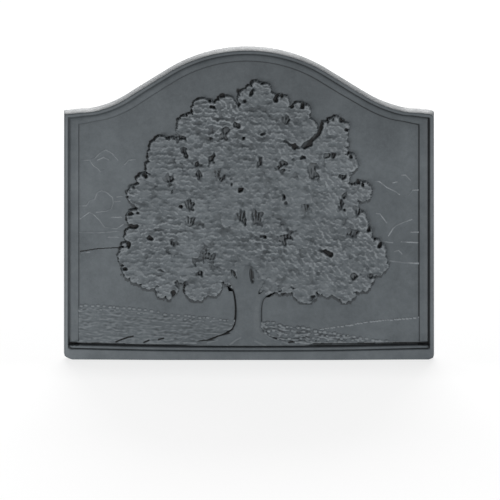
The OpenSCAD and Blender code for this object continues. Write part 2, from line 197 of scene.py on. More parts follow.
# bunches round each clump, and leaves round each bunch: spacing, radius and shift outwards
EDGE_BUNCHES = (12.5, (5.5, 9.0), (-2.5, 1.5))
EDGE_LEAVES = (5.5, (2.0, 3.2), (-1.0, 0.4))
# the leaves stand this far outside a bunch, and a clump's own body this far inside its edge
LEAF_OUTSET = 1
CLUMP_INSET = 6
EDGE_REACH = 3
# a relief's edge falls to the panel at this slope, and ends in a thin apron on it that carries painted
# shade onto the panel
SKIRT_SLOPE = 3.6
APRON = 8.0
APRON_RISE = 0.08
RELIEF_FOOT_Y = PANEL_Y + 6
# value of a surface where it has nothing
OUTSIDE = -9
# a knob's surface ends at this share of its radius
KNOB_REACH = 1.25
# distance of a hexagonal net's rows, and how far chance moves points on nets and circles,
# both in spacings
NET_ROW = 0.87
POINT_SHIFT = (-0.3, 0.3)
# chance phases run over a little more than a full turn
FULL_TURN = 6.3
# the leaves' height is a level with clumps, sprays and leaves on it, the last two sunk a little
LEAF_LEVEL = 3.1
CLUMP_RISE = 2.2
CLUMP_STEP = 2.2
CLUMP_R = (14, 25)
CLUMP_SPACING = 27
CLUMP_MARGIN = 1.2
EDGE_CLUMP_SHARE = 0.9
# a clump's wavy edge: number of waves and their height
CLUMP_WAVES = (5, 9)
CLUMP_WAVINESS = 0.1
SPRAY_R = (6.5, 11)
SPRAY_SPACING = 14
SPRAY_RISE = 1.3
SPRAY_STEP = 1.2
SPRAY_KNOBS = (-0.3, 0, 0.3)
SPRAY_KNOB_R = 0.8
SPRAY_SINK = 0.8
LEAF_SPACING = 8.4
LEAF_STEP = 1.5
LEAF_SIZE = (0.75, 1.15)
LEAF_SINK = 0.6
# leaves lie level on the left and hang to the right on the right: [lean at x, lean], and its spread
LEAF_LEAN = [(-200, -2), (0, -20), (120, -34), (230, -38)]
LEAF_LEAN_SPREAD = 20
# lobes of one leaf: [along the rib, aside, radius, rise]
LEAF_LOBES = [
    (-3.6, 0.0, 2.0, 1.1), (-1.2, 0.7, 2.1, 1.4), (1.3, -0.7, 2.1, 1.4), (3.6, 0.2, 2.1, 1.8),
]
LEAF_SOFTNESS = 0.85
# how lively the leaves stand out: least, usual, most, and the share and size of chance patches
LIVELINESS = (0.7, 0.95, 1.4, 0.16)
LIVELY_SIZE = 40
# how much lighter the whole crown's colour is made, how much more at the right, and where that starts
CROWN_LIGHTENING = (0.07, 0.15)
CROWN_LIGHTENING_PLACE = (40, 120)
# above the ease the leaves' rise is eased off towards the most
CROWN_EASE = 8.7
CROWN_MOST = 9.8

# ---- painted shadow, shade and highlights on the leaves ----

# the side the key light comes from; painted shadow stays in its lee
KEY_LIGHT_SIDE = (0.92, -0.38)
LEE_REACH = 5.2
LEE_SLOPE = 1.15
LEE_SHADOW = (1.0, 1.8)
# the painted shadow in the lee is broken by chance: least strength, then level, share and size of
# patches
BROKEN_LEAST = 0.3
BROKEN = (0.85, 0.6, 9)
# soft painted shade below the lobes
UNDER_SIDE = (0.0, 1.0)
UNDER_SLOPE = 0.5
UNDER_MOST = 0.55
UNDER_SHADE = (0.2, 3.4)
# painted shade in deep hollows of this size, partly blacking: strengths, each with its [start, length]
DEEP_SIZE = 2.6
DEEP_SHADE_AND_SOOT = ((0.42, (1.1, 2.6)), (0.55, (2.7, 1.0)))
# fine hollows: size and depth, their painted shade, partly blacking, the painted highlight on their
# tops, and where the tops start
FINE_HOLLOWS = (2.4, 0.85)
FINE_SHADE = 0.2
FINE_HIGHLIGHT = 1.6
FINE_START = 0.3
# painted shade in wide hollows and painted light on wide tops: strength, size and depth, on a level
# averaged over this size
LEVEL_SIZE = 2.5
WIDE_HOLLOW_SHADE = ((0.13, 7, 0.9), (0.16, 15, 1.4))
# the panel round a relief counts as this share of its height, so that no painted highlight runs all
# along a rim
PANEL_SHARE = 0.75

# gaps between the leaves: [x, z, width, height, turn in degrees]
GAPS = [
    (-21, 401, 8, 10, 0), (-42, 386, 10, 20, -15), (-62, 378, 9, 9, 0), (-9, 377, 7, 7, 0),
    (22, 386, 9, 15, 20), (60, 409, 13, 10, -40), (-107, 352, 10, 16, 15), (-61, 344, 7, 16, -15),
    (18, 336, 8, 15, 10), (-88, 335, 14, 7, -10), (-84, 316, 10, 12, 0), (-48, 314, 26, 13, -35),
    (53, 329, 22, 15, 10), (105, 319, 13, 25, 15), (-129, 306, 17, 14, -30), (-98, 267, 13, 22, 5),
    (-114, 261, 9, 5, 0), (-96, 237, 22, 13, -20), (-13, 244, 16, 18, -50), (11, 244, 14, 20, 0),
    (57, 278, 8, 16, 35), (95, 261, 17, 12, 0), (152, 270, 9, 26, -15), (180, 254, 9, 13, 10),
    (57, 208, 22, 18, 20), (26, 210, 8, 6, 0), (165, 214, 24, 14, -10), (-127, 198, 16, 9, 5),
    (-164, 208, 7, 6, 0), (-71, 177, 18, 22, 30), (-82, 147, 14, 9, 0), (-112, 129, 17, 10, 35),
    (-25, 147, 9, 17, 27), (4.5, 143, 9, 28, 4), (125, 184, 24, 6, -25), (174, 141, 11, 12, -25),
    (132, 349, 24, 7, 0), (168, 346, 7, 7, 0), (153, 314, 9, 13, 45), (198, 221, 6, 10, 0),
    (216, 197, 6, 8, 0), (106, 107, 8, 9, -30), (122, 402, 5, 8, -20), (138, 408, 6, 9, -25),
    (152, 408, 5, 7, -10), (161, 391, 5, 5, 0), (-64, 441, 6, 5, 0), (-46, 449, 12, 5, 10),
    (20, 470, 7, 4, 0), (45, 447, 6, 10, -30), (54, 449, 5, 6, 0), (71, 432, 6, 5, 0),
    (88, 432, 6, 9, -20), (-120, 379, 28, 8, 0), (-13, 290, 7, 5, 20), (88, 345, 7, 7, 40),
    (-189, 228, 21, 5, 0), (-193, 249, 13, 5, 5), (-204, 154, 9, 5, 20), (-211, 144, 5, 8, -20),
    (-198, 197, 4, 11, 0), (-208, 192, 9, 4, 0), (-190, 262, 6, 9, 0), (-190, 296, 10, 6, 25),
    (-170, 314, 9, 5, -30), (180, 303, 5, 6, 0), (188, 298, 4, 5, 0), (157, 255, 5, 5, 0),
    (-125, 112, 5, 9, 0), (52, 122, 8, 7, 0), (57, 111, 7, 6, 0), (200, 143, 10, 8, -20),
    (-18, 453, 5, 14, 10), (-8, 441, 8, 5, 0), (-58, 431, 8, 5, 0), (4, 459, 6, 9, -20),
]
GAP_FLOOR = 1.0
GAP_SPREAD = 1.2
GAP_MARGIN = 1.4
# a gap's edge in half sizes from its middle, with the size and strength of its raggedness
GAP_EDGE = 1.15
GAP_EDGE_SIZE = 4.5
GAP_EDGE_NOISE = 0.42
GAP_SOFTNESS = 0.8
# gaps narrower than this, with a soft limit, are painted plain black, as holes in shade
SMALL_GAP = (9, 4)
# a soft painted shade round each gap: strength and [start, length]
GAP_HALO_SHADE = 0.2
HALO_PLACE = (-0.45, 0.8)
# how black the painted shade on a gap's shaded side is, from the shallowest to the deepest gap
GAP_BLACK = (0.7, 1.2)
# painted shade in a gap: everywhere, at the lower right, off the twigs and in small gaps
GAP_SHADE = (0.38, 0.8, 0.8, 0.5)
LOW_SHARE = 0.5
GAP_CORE = (0.12, 0.55)
# a gap's floor climbs to the left, with twigs that fan out from below it
GAP_SLOPE = 0.5
CLIMB_START = 0.3
FAN_DEPTH = 1.5
FAN_SHIFT = (-0.3, 0.3)
TWIG_FALL = 1.6
TWIG_PITCH = 4.8
TWIG_RAGGED = 2.5
TWIG_DIP = -0.2
# the long hollow between two upper clumps: [x, z, half width]
CREASE = [
    (53, 376, 1.6), (60, 371, 0.8), (68, 366, 1.2), (80, 361, 0.8), (90, 361, 1.6), (98, 367, 3.4),
    (106, 375, 4.4), (113, 385, 3.6), (119, 396, 1.6),
]
CREASE_SLOPE = 2.4
CREASE_REACH = 9
CREASE_STEPS = 8
# its edge: streaks' length, thickness and turn, and shares of raggedness, wide noise and streaks
CREASE_STREAKS = (12, 3.2, 54)
CREASE_EDGE = (4, 1.2, 0.8)
CREASE_NOISE_SIZE = 10
# its painted shade: level, further at the right, share of streaks, and where the right and the floor
# are
CREASE_SHADE = (0.7, 0.3, 0.5)
CREASE_RIGHT = (84, 20)
CREASE_FLOOR = (1.2, 1.5)

# ---- trunk ----

TRUNK_STEP = 0.8
TRUNK_SIDES = (-128, 112)
TRUNK_HEIGHTS = (21, 172)
TRUNK_SEED = 3
TRUNK_RISE = 7.6
TRUNK_END_Z = 160
# rise of the limbs where leaves cover them
UNDER_LEAVES = 4
# powers that round the trunk across and in height
TRUNK_ROUND = (3, 0.5)
# its edges wobble: size, width, and the outline's share
WOBBLE = (16, 0.8)
WOBBLE_OUTLINE = 0.5
# the roots lie flatter than the trunk: [start, length], and their share of its rise
ROOTS_PLACE = (24, 30)
ROOT_SHARE = 0.5
# bark: waves across with their phases, share of the wobble, rise on the trunk and on the roots
BARK_WAVES = ((9, 0.4), (14, 2.1), (23, 4.0))
BARK_WOBBLE = 0.8
BARK_RISE = (0.12, 0.55)
BARK_EDGE = (1, 6)
BARK_GRAIN = (5, 0.06)
# soot streaks on the bark: strength and shape, only where it stands out and isn't black
BARK_SOOT = 0.05
BARK_STREAKS = (3, 18, 0)
STANDS_OUT = 1
HALF_BLACK = 0.5
GROUND_LINE = 26.8
ROOT_SINK = 2.2
# the trunk's edges where it spreads into its roots: [z, x]
ROOT_LEFT = [
    (24, -104), (31, -86), (33, -71), (36, -62), (40, -53), (45, -38), (52, -29), (60, -24.5),
    (70, -22.3), (84, -21.3),
]
ROOT_RIGHT = [
    (24, 100), (30, 80), (33, 60), (36, 44), (39.5, 35), (43, 29), (48, 24), (55, 21.4), (84, 20.8),
]
# how the edges flare into the limbs: height, and for each side reach and softness
FLARE_Z = 116
FLARES = ((ROOT_LEFT, -5, 14), (ROOT_RIGHT, 30, 7))
# the cut beside the trunk, painted black as the trunk's shadow, is widest at the left root: its half
# width at the root and higher up
CUT_LEFT = (2.8, 1.6)
CUT_WIDENS = (78, 32)
CUT_LEFT_END = (-90, 12)
CUT_RIGHT = 0.7
CUT_RIGHT_SHADE = 0.8
CUT_RIGHT_END = 48
CUT_TOP = 126
# low ridges on the roots, rubbed bright with a painted highlight, and short cuts beside them painted
# black as shade
RIDGE_R = 2.0
RIDGE_RISE = 0.8
RIDGE_RUB_AND_HIGHLIGHT = 0.65
ROOT_CUT_R = 1.9
ROOT_CUT_EDGE = 2
ROOT_RIDGES = [
    [(-14, 37), (-21, 33), (-31, 25)], [(10, 31), (19, 26.5), (26, 24)],
    [(26, 45), (34, 38), (44, 33)], [(55, 30.5), (65, 26)], [(-52, 33), (-68, 28.5)],
]
ROOT_CUTS = [[(40, 37), (45, 35.5), (53, 35.3)], [(66, 28.8), (75, 29.8), (83, 29)]]
# slots between the limbs: [x, z, width, height, turn in degrees]
SLOTS = [(-25, 147, 4.5, 17, 27), (4.5, 143, 7, 27, 4), (19, 117, 4, 10, -35)]
SLOT_DEPTH = 0.85
SLOT_CUT = (1.35, 0.6)
# painted shade in the slots: [start, length]
SLOT_SHADE = (1.4, 0.8)
SLOT_WOBBLE = 0.25
# streaks of painted shade in the slots: lean, pitch, level and strength
SLOT_STREAKS = (0.1, 4.2, 0.75, 0.5)
# where the bare limbs show under the leaves, with a ragged soft edge
WOOD_PLACE = (-7, 126)
WOOD_SIZE = (26, 30)
WOOD_EDGE = (7, 0.1)
WOOD_FADE = 0.5
WOOD_SEED = 4
# below this the trunk is bare, above the second it counts as whole for its painted shade,
# and below the third it has an apron on the panel
BARE_BELOW = (122, 8)
WHOLE_ABOVE = 118
APRON_BELOW = 124

# ---- ground and distance ----

GROUND_STEP = 0.9
FIELD_EDGE = [
    (-284, 92), (-258, 92.5), (-238, 91.5), (-195, 88), (-158, 83), (-132, 77), (-99, 74),
    (-66, 71.5), (-39, 67.5), (-20, 66),
]
SLOPE_EDGE = [
    (20, 64), (44, 63), (60, 56.5), (87, 55.5), (110, 50.5), (136, 45.5), (170, 40.5), (203, 34.5),
    (236, 30.5), (252, 27), (284, 18),
]
HEDGE = [(118, 51.5), (127, 52.6), (156, 57), (186, 62), (209, 65.5), (242, 68), (282, 71.5)]
# a bush: sizes, rises, how far it sinks below its line, its knobs and their lean, and strides
BUSH_SIZE = (0.7, 1.2)
BUSH_RISE = (0.6, 1.1)
BUSH_SINK = (0.4, 1.0)
BUSH_KNOBS = 5
BUSH_LEAN = 0.15
BUSH_STRIDE = (0.6, 1.5)
# the ground stops short of the bead at both ends, where the groove is wide and painted black as shadow
GROUND_LEFT_END = (-196, 12)
GROUND_RIGHT_END = (96, 12)
GROUND_END_STEPS = (1.2, 2.2)
IN_GROOVE = 5
# the ground's upper edge has no painted dark line, so its foot gets no painted shade: [start, length]
CLEAN_FOOT = (0.4, 0.7)
ON_GROUND = APRON_RISE * 1.1
LEAST_BLACK = 0.02

FIELD_PLACE = ((-283, -18), (20, 98))
FIELD_SEED = 5
FIELD_RISE = 1.2
FIELD_EDGE_SLOPE = 0.25
# ripples: rise, pitch, lean and limits, with the sizes and strengths of their drift
RIPPLE_RISE = 0.55
RIPPLE_PITCH = 4.7
RIPPLE_LEAN = 0.035
RIPPLE_LIMITS = (-1.8, 2)
RIPPLE_DRIFT = ((20, 0.9), (9, 1.1))
# share of the ripples, and streaks: strength, length, thickness and turn
RIPPLE_SHARE = 0.3
FIELD_STREAKS = ((0.6, 10, 3.4, -4), (0.45, 4.5, 3, 0))
# rows of bushes: how far below the edge, then spacing, radius, rise and length
FIELD_BUSHES = ((0, (8, 2.6, 2.2, 1.3)), (6, (13, 2.2, 2.2, 1.4)))
# painted light: size and depth of the hollows, strength of their painted shade and of the painted
# highlights on the tops
FIELD_PAINTED_LIGHT = (2.4, 0.6, 0.72, 1.05)
# tufts: radius, depth of their cuts, and their painted shade
TUFT_R = 1.7
TUFT_DEPTH = 1.6
TUFT_BLACK = 1.6
TUFTS = [
    [(-219, 29), (-210, 33), (-200, 36.5), (-191, 38.5)],
    [(-173, 28), (-165, 31.5)],
    [(-149, 33), (-141, 35)],
]

SLOPE_PLACE = ((18, 283), (20, 80))
SLOPE_SEED = 8
SLOPE_RISE = 1.3
SLOPE_EDGE_SLOPE = 0.8
SCRUB_RISE = 1.15
SCRUB_PITCH = 5.6
SCRUB_LIMITS = (-1.1, 2)
SCRUB_DRIFT = ((18, 0.9), (7, 1.2))
SCRUB_SHARE = 0.35
SLOPE_STREAKS = ((0.65, 10, 4.2, -9), (0.45, 5, 3.4, -9))
# rows of bushes from the edge down, a pitch apart and moved by chance
SLOPE_BUSHES = ((8, 3.0, 3.6, 1.25),) + 5 * ((13, 3.0, 3.4, 1.25),)
BUSH_ROW_PITCH = 6.5
BUSH_ROW_SHIFT = (-1, 1)
# painted light on the slope: size and depth of the hollows, strength of their painted shade and of the
# highlights
SLOPE_PAINTED_LIGHT = (2.6, 0.75, 0.9, 1.5)
HEDGE_BUSHES = (5.2, 1.6, 1.5, 1.7)
# the meadow below the hedge: rise, how far below, and slope of its edge
MEADOW_RISE = 0.25
MEADOW_DROP = 1
MEADOW_SLOPE = 0.5

HORIZON = [(-278, 183), (-265.5, 185), (-250, 187.5), (-232, 188.8), (-212, 189.6)]
LEFT_SCENERY = [
    [(-274, 339), (-263, 339), (-254, 342), (-245, 351.5), (-236, 356.5), (-225, 350), (-216, 339)],
    [(-250, 339), (-239.5, 343.5), (-231, 339)],
    [(-263, 339), (-256, 329), (-249, 324.5), (-245, 319), (-239.5, 321.5)],
    [(-205, 331), (-198, 339), (-187, 340)],
    [(-279, 261), (-268, 261), (-262.5, 270), (-254.5, 272), (-250, 283.5), (-243, 287), (-234, 283.5),
     (-225, 275), (-223.5, 266), (-227, 256), (-235, 252), (-251.5, 250)],
    [(-224, 267.5), (-213, 269)],
    [(-218, 276), (-209, 277.5)],
    [(-278, 239), (-263, 250), (-256, 246), (-246, 236), (-238, 224.5), (-227, 223), (-218, 222),
     (-207.5, 229)],
    [(-279, 215.5), (-246, 215), (-213, 217.5)],
    [(-232, 207.5), (-213, 207.5)],
    [(-227, 241.5), (-210, 241.5)],
    [(-276, 180.5), (-262, 182)],
]
RIGHT_SCENERY = [
    [(208, 303), (215, 302), (227, 292.5), (242.5, 284.5), (248, 280)],
    [(252, 313), (258, 313.5), (266, 304.5)],
    [(263, 279), (270, 287.5), (278.5, 288)],
    [(237, 300), (244, 302)],
    [(210.5, 248), (216, 247), (227, 231.5)],
    [(268.5, 237.5), (255, 233), (242.5, 227), (237, 221.5), (230, 210)],
    [(267, 216), (279, 216)],
    [(223, 199.5), (237, 198)],
    [(251, 199.5), (278, 198)],
    [(240, 183), (247, 184.5), (252, 179)],
    [(232, 167.5), (253, 164.5), (280, 163)],
    [(232, 166.8), (253, 163.8), (280, 162.3)],
]
SCENERY_STEP = 0.7
SCENERY_SEED = 21
SCENERY_R = 1.5
SCENERY_RISE = 0.5
HORIZON_R = SCENERY_R * 0.7
# a line's points: pitch, reach, chance of its height and of its place
STROKE_PITCH = 0.8
STROKE_REACH = 2
STROKE_HEIGHT = (0.65, 1.1)
STROKE_SHIFT = (-0.25, 0.25)
# how bright the lines are painted varies by chance: share and size of the patches, and limits
UNEVEN = (0.45, 6)
UNEVEN_LIMITS = (0.2, 1.9)
# for each side: grid, lines, horizon painted dark as a shadow line, and painted brightness of the
# lines
SCENERY = {
    "left": (((-281, -184), (176, 362)), LEFT_SCENERY, HORIZON, 0.9),
    "right": (((205, 281), (158, 320)), RIGHT_SCENERY, [], 1.8),
}

# ---- welds ----

WELD_R = 2.4
WELD_PITCH = 3.2
WELD_SIDES = 10
# rings to each ripple of a bead, and how deep the ripples are
WELD_RINGS = 5
WELD_RIPPLE = 0.13
# the beads start this far from the snipped corner of the gusset and stop short of its tips
WELD_START = 18
WELD_STOP = 4
WELD_TIP = 0.4

# ---- colours: red, green, blue, and 1 for opaque ----

IRON_SKIN = ((0.022, 0.028, 0.033, 1), (0.170, 0.191, 0.205, 1))
# colour of the painted shade towards the top
IRON_TOP_SHADE = (0.010, 0.011, 0.012, 1)
# black for soot and painted shade, and bright for rubbed metal with painted highlights
IRON_SOOT_AND_SHADE = (0.005, 0.0055, 0.006, 1)
IRON_RUBBED_AND_HIGHLIGHT = (0.225, 0.245, 0.26, 1)
# painted shade that darkens the iron towards the top: the height in metres where it starts, its climb
# to the metre, and its strength
TOP_SHADE_FROM = 0.33
TOP_SHADE_CLIMB = 6
TOP_SHADE_MOST = 0.22
PAINT = ((0.016, 0.016, 0.017, 1), (0.028, 0.028, 0.030, 1))
BOLT_ZINC = (0.35, 0.355, 0.36, 1)
WASHER_ZINC = (0.45, 0.445, 0.43, 1)
# brightness of the zinc's dull patches
ZINC_DULL = 0.8
WHITE = (1, 1, 1, 1)

# ---- studio, in metres ----

FLOOR_SIZE = 5
FLOOR_GREY = (0.8, 0.8, 0.8, 1)
FLOOR_GLOW = 1.22
# the glow's share of what the camera sees, and its growth in front of here, a painted light that makes
# the floor lighter towards the front: to the metre, at most
FLOOR_SHARE = 0.62
FLOOR_FRONT = -0.011
FLOOR_PAINTED_GLOW_GROWTH = (0.6, 0.078)
WORLD_LIGHT = 0.22
# suns: direction they come from, strength and spread in degrees
SUNS = {
    "key": ((0.62, -1.0, -0.3), 1.55, 9),
    "top": ((0, 0.87, 0.5), 2.1, 30),
    "side": ((-0.6, 0.8, 0.1), 1.2, 20),
}
# softboxes: place, aim, size and power
SOFTBOXES = {
    "back": ((0, 2.3, 1.15), (0, 0, 0.5), (3.4, 1.0), 36),
    "fill": ((-0.95, -1.3, -0.55), (-0.1, 0, 0.15), (0.8, 0.8), 13),
}
# the view: degrees above level, width, point looked at in millimetres, and distance
VIEW_ELEVATION = 15
VIEW_WIDTH = 0.824
VIEW_CENTRE = (1.7, RIM_Y, 188.1)
VIEW_DISTANCE = 3


# ---- small helpers ----


def placed(name, data):
    """A new object that holds that mesh, lamp or camera."""
    made = bpy.data.objects.new(name, data)
    bpy.context.scene.collection.objects.link(made)
    return made


def meshed(name, bm, material):
    """A new object made from a bmesh, with its material."""
    mesh = bpy.data.meshes.new(name)
    bm.to_mesh(mesh)
    bm.free()
    mesh.materials.append(material)
    return placed(name, mesh)


def finished(name, bm, material, node_names=(), smooth_angle=SMOOTH_ANGLE):
    """Makes a bmesh, in millimetres, one piece of the object with its material."""
    bmesh.ops.recalc_face_normals(bm, faces=bm.faces)
    bmesh.ops.scale(bm, vec=(MM, MM, MM), verts=bm.verts)
    limit = math.radians(smooth_angle)
    for face in bm.faces:
        face.smooth = True
    for edge in bm.edges:
        edge.smooth = edge.calc_face_angle(0) < limit
    piece = meshed(name, bm, material)
    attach(piece, "root")
    if node_names:
        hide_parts(*node_names)


def drawn_out(bm, edges):
    """Extrudes open edges: the new vertices, and the new edges that are open."""
    made = bmesh.ops.extrude_edge_only(bm, edges=edges)["geom"]
    verts = [v for v in made if isinstance(v, bmesh.types.BMVert)]
    return verts, [e for e in made if isinstance(e, bmesh.types.BMEdge) and e.is_boundary]


def at_z(line, x):
    """Height of a chosen line at x."""
    xs, zs = zip(*line)
    return np.interp(x, xs, zs)


def points_on(line, step):
    """Points set along a chosen line, about step apart."""
    for (x0, z0), (x1, z1) in zip(line, line[1:]):
        count = max(2, int(math.hypot(x1 - x0, z1 - z0) / step))
        for t in np.linspace(0, 1, count):
            yield x0 + (x1 - x0) * t, z0 + (z1 - z0) * t


def oval(from_x, from_z, width, height, turn):
    """Distance from an oval's middle, which is 1 at its edge."""
    a = math.radians(turn)
    lengthways = (from_x * math.cos(a) + from_z * math.sin(a)) / (width / 2)
    sideways = (from_z * math.cos(a) - from_x * math.sin(a)) / (height / 2)
    return np.hypot(lengthways, sideways)


def sag(x):
    """How far the bottom rail's upper edge hangs below its ends."""
    return RAIL_SAG * np.clip(1 - (x / (PLATE_W / 2 - SAG_INSET)) ** 2, 0, 1)


def smooth_step(value):
    """0 up to 0 and 1 from 1 on, with a smooth climb between them."""
    value = np.clip(value, 0, 1)
    return value * value * (3 - 2 * value)


def beyond(value, place):
    """Climbs from 0 to 1 over a place's length, upwards from its start."""
    start, length = place
    return smooth_step((value - start) / length)


def before(value, place):
    """Climbs from 0 to 1 over a place's length, downwards from its start."""
    start, length = place
    return smooth_step((start - value) / length)


class Grid:
    """A square grid over part of the picture, with a value for each point."""

    def __init__(self, sides, heights, step):
        self.step = step
        self.xs = np.arange(sides[0], sides[1] + step / 2, step)
        self.zs = np.arange(heights[0], heights[1] + step / 2, step)
        self.x, self.z = np.meshgrid(self.xs, self.zs)
        self.across = np.fft.rfftfreq(len(self.xs), step)
        self.up = np.fft.fftfreq(len(self.zs), step)[:, None]

    def filled(self, value=0.0):
        return np.full(self.x.shape, float(value))

    def window(self, x, z, reach):
        """Rows and columns within reach of a point."""
        left = int((x - reach - self.xs[0]) / self.step)
        low = int((z - reach - self.zs[0]) / self.step)
        count = int(2 * reach / self.step) + 3
        return (slice(max(0, low), max(0, low + count)), slice(max(0, left), max(0, left + count)))

    def raise_to(self, surface, x, z, reach, shape):
        """Lifts the surface near a point to shape(distance), where that is higher."""
        near = self.window(x, z, reach)
        away = np.hypot(self.x[near] - x, self.z[near] - z)
        surface[near] = np.maximum(surface[near], shape(away))

    def dome(self, surface, x, z, r, top, base=0.0):
        """Lifts a round knob, whose edge runs a little below its base."""
        reach = KNOB_REACH * r

        def shape(away):
            return np.where(away < reach, base + top * (1 - (away / r) ** 2), OUTSIDE)

        self.raise_to(surface, x, z, reach, shape)

    def ridges(self, lines, r):
        """Rounded ridges, 1 high, along chosen lines."""
        surface = self.filled()
        for line in lines:
            for x, z in points_on(line, r / 2):
                self.dome(surface, x, z, r, 1)
        return surface

    def filtered(self, surface, keep):
        """The surface with that share of each of its waves."""
        return np.fft.irfft2(np.fft.rfft2(surface) * keep, surface.shape)

    def blurred(self, surface, size):
        """The surface averaged over about size."""
        keep = np.exp(-2 * (math.pi * size) ** 2 * (self.across**2 + self.up**2))
        return self.filtered(surface, keep)

    def noise(self, size, rng):
        """Smooth random values around 0, with patches of about size."""
        values = self.blurred(rng.standard_normal(self.x.shape), size / 2)
        return values / values.std()

    def scattered(self, spacing, rng):
        """Points on a hexagonal net, each moved a little by chance."""
        points = []
        for row, z in enumerate(np.arange(self.zs[0], self.zs[-1], spacing * NET_ROW)):
            for x in np.arange(self.xs[0] + spacing / 2 * (row % 2), self.xs[-1], spacing):
                shift_x, shift_z = rng.uniform(*POINT_SHIFT), rng.uniform(*POINT_SHIFT)
                points.append((x + shift_x * spacing, z + shift_z * spacing))
        return points

    def streaks(self, long, thick, turn, rng):
        """Random values around 0 in streaks of about that length and thickness."""
        a = math.radians(turn)
        lengthways = (self.across * math.cos(a) + self.up * math.sin(a)) * long / 2
        sideways = (self.up * math.cos(a) - self.across * math.sin(a)) * thick / 2
        keep = np.exp(-2 * math.pi**2 * (lengthways**2 + sideways**2))
        values = self.filtered(rng.standard_normal(self.x.shape), keep)
        return values / values.std()

    def hollows(self, rise, size, depth):
        """1 in narrow hollows, -1 on narrow tops, 0 on even ground."""
        return np.clip((self.blurred(rise, size) - rise) / depth, -1, 1)


def relief(name, grid, rise, painted_light_and_soot, material, node_names=(), rows=None, cols=None):
    """A closed piece that stands in front of the panel wherever rise is above 0.

    It covers the whole grid, or only those rows and columns.
    """
    rows = rows or slice(0, len(grid.zs))
    cols = cols or slice(0, len(grid.xs))
    z_count = rows.stop - rows.start
    x_count = cols.stop - cols.start
    bm = bmesh.new()
    # each vertex carries its soot and painted light: painted shade and shadow, and painted highlights
    soot_and_painted_light = bm.verts.layers.float.new("soot_and_painted_light")
    bmesh.ops.create_grid(bm, x_segments=x_count - 1, y_segments=z_count - 1, size=0.5)
    outside = []
    for v in bm.verts:
        i = rows.start + round((v.co.y + 0.5) * (z_count - 1))
        j = cols.start + round((v.co.x + 0.5) * (x_count - 1))
        v.co = (grid.x[i, j], PANEL_Y - rise[i, j], grid.z[i, j])
        v[soot_and_painted_light] = painted_light_and_soot[i, j]
        if rise[i, j] < -SKIRT_SLOPE:
            outside.append(v)
    bmesh.ops.delete(bm, geom=outside, context="VERTS")
    rest = [v for v in bm.verts if not v.link_faces]
    bmesh.ops.delete(bm, geom=rest, context="VERTS")
    rim = [e for e in bm.edges if e.is_boundary]
    verts, foot = drawn_out(bm, rim)
    for v in verts:
        v.co.y = RELIEF_FOOT_Y
    bmesh.ops.triangle_fill(bm, edges=foot, use_beauty=False)
    finished(name, bm, material, node_names)


# ---- shader helpers ----


class Wire:
    """A node's output that takes part in Python arithmetic."""

    def __init__(self, finish, socket):
        self.finish = finish
        self.socket = socket

    def maths(self, operation, first, second):
        return self.finish.node("Math", {"operation": operation}, {0: first, 1: second})

    def __add__(self, other):
        return self.maths("ADD", self, other)

    def __sub__(self, other):
        return self.maths("SUBTRACT", self, other)

    def __rsub__(self, other):
        return self.maths("SUBTRACT", other, self)

    def __mul__(self, other):
        return self.maths("MULTIPLY", self, other)

    __radd__ = __add__
    __rmul__ = __mul__

    def at_least(self, other):
        return self.maths("MAXIMUM", self, other)

    def at_most(self, other):
        return self.maths("MINIMUM", self, other)


class Finish:
    """A material, or the world, under construction."""

    def __init__(self, owner):
        self.owner = owner
        owner.use_nodes = True
        self.tree = owner.node_tree
        self.tree.nodes.clear()

    @cached_property
    def place(self):
        """Where on the object a point lies, in metres."""
        return self.node("TexCoord", output="Object")

    def node(self, kind, settings=None, inputs=None, output=0):
        """Adds a node: settings first, then the values or links of its sockets."""
        made = self.tree.nodes.new("ShaderNode" + kind)
        for key, value in (settings or {}).items():
            setattr(made, key, value)
        for key, value in (inputs or {}).items():
            if isinstance(value, Wire):
                self.tree.links.new(value.socket, made.inputs[key])
            else:
                made.inputs[key].default_value = value
        return Wire(self, made.outputs[output]) if made.outputs else None

    def noise(self, scale, detail=2.0, rough=0.5):
        """Noise around 0.5 with about that many patches to the metre."""
        inputs = {"Vector": self.place, "Scale": scale, "Detail": detail, "Roughness": rough}
        return self.node("TexNoise", {}, inputs)

    def mixed(self, amount, first, second):
        """One colour turning into another with amount."""
        inputs = {0: amount, 6: first, 7: second}
        return self.node("Mix", {"data_type": "RGBA"}, inputs, output=2)

    def bump(self, strength, distance, height):
        """A surface roughened after a height, by at most that distance in metres."""
        inputs = {"Strength": strength, "Distance": distance, "Height": height}
        return self.node("Bump", {}, inputs, output="Normal")

    def surface(self, colour, roughness, bump, metallic=0.0, specular=0.5):
        """Ends the material in that surface and returns it."""
        inputs = {"Base Color": colour, "Roughness": roughness, "Normal": bump}
        inputs.update({"Metallic": metallic, "Specular IOR Level": specular})
        self.node("OutputMaterial", {}, {"Surface": self.node("BsdfPrincipled", {}, inputs)})
        return self.owner


# ---- finishes ----


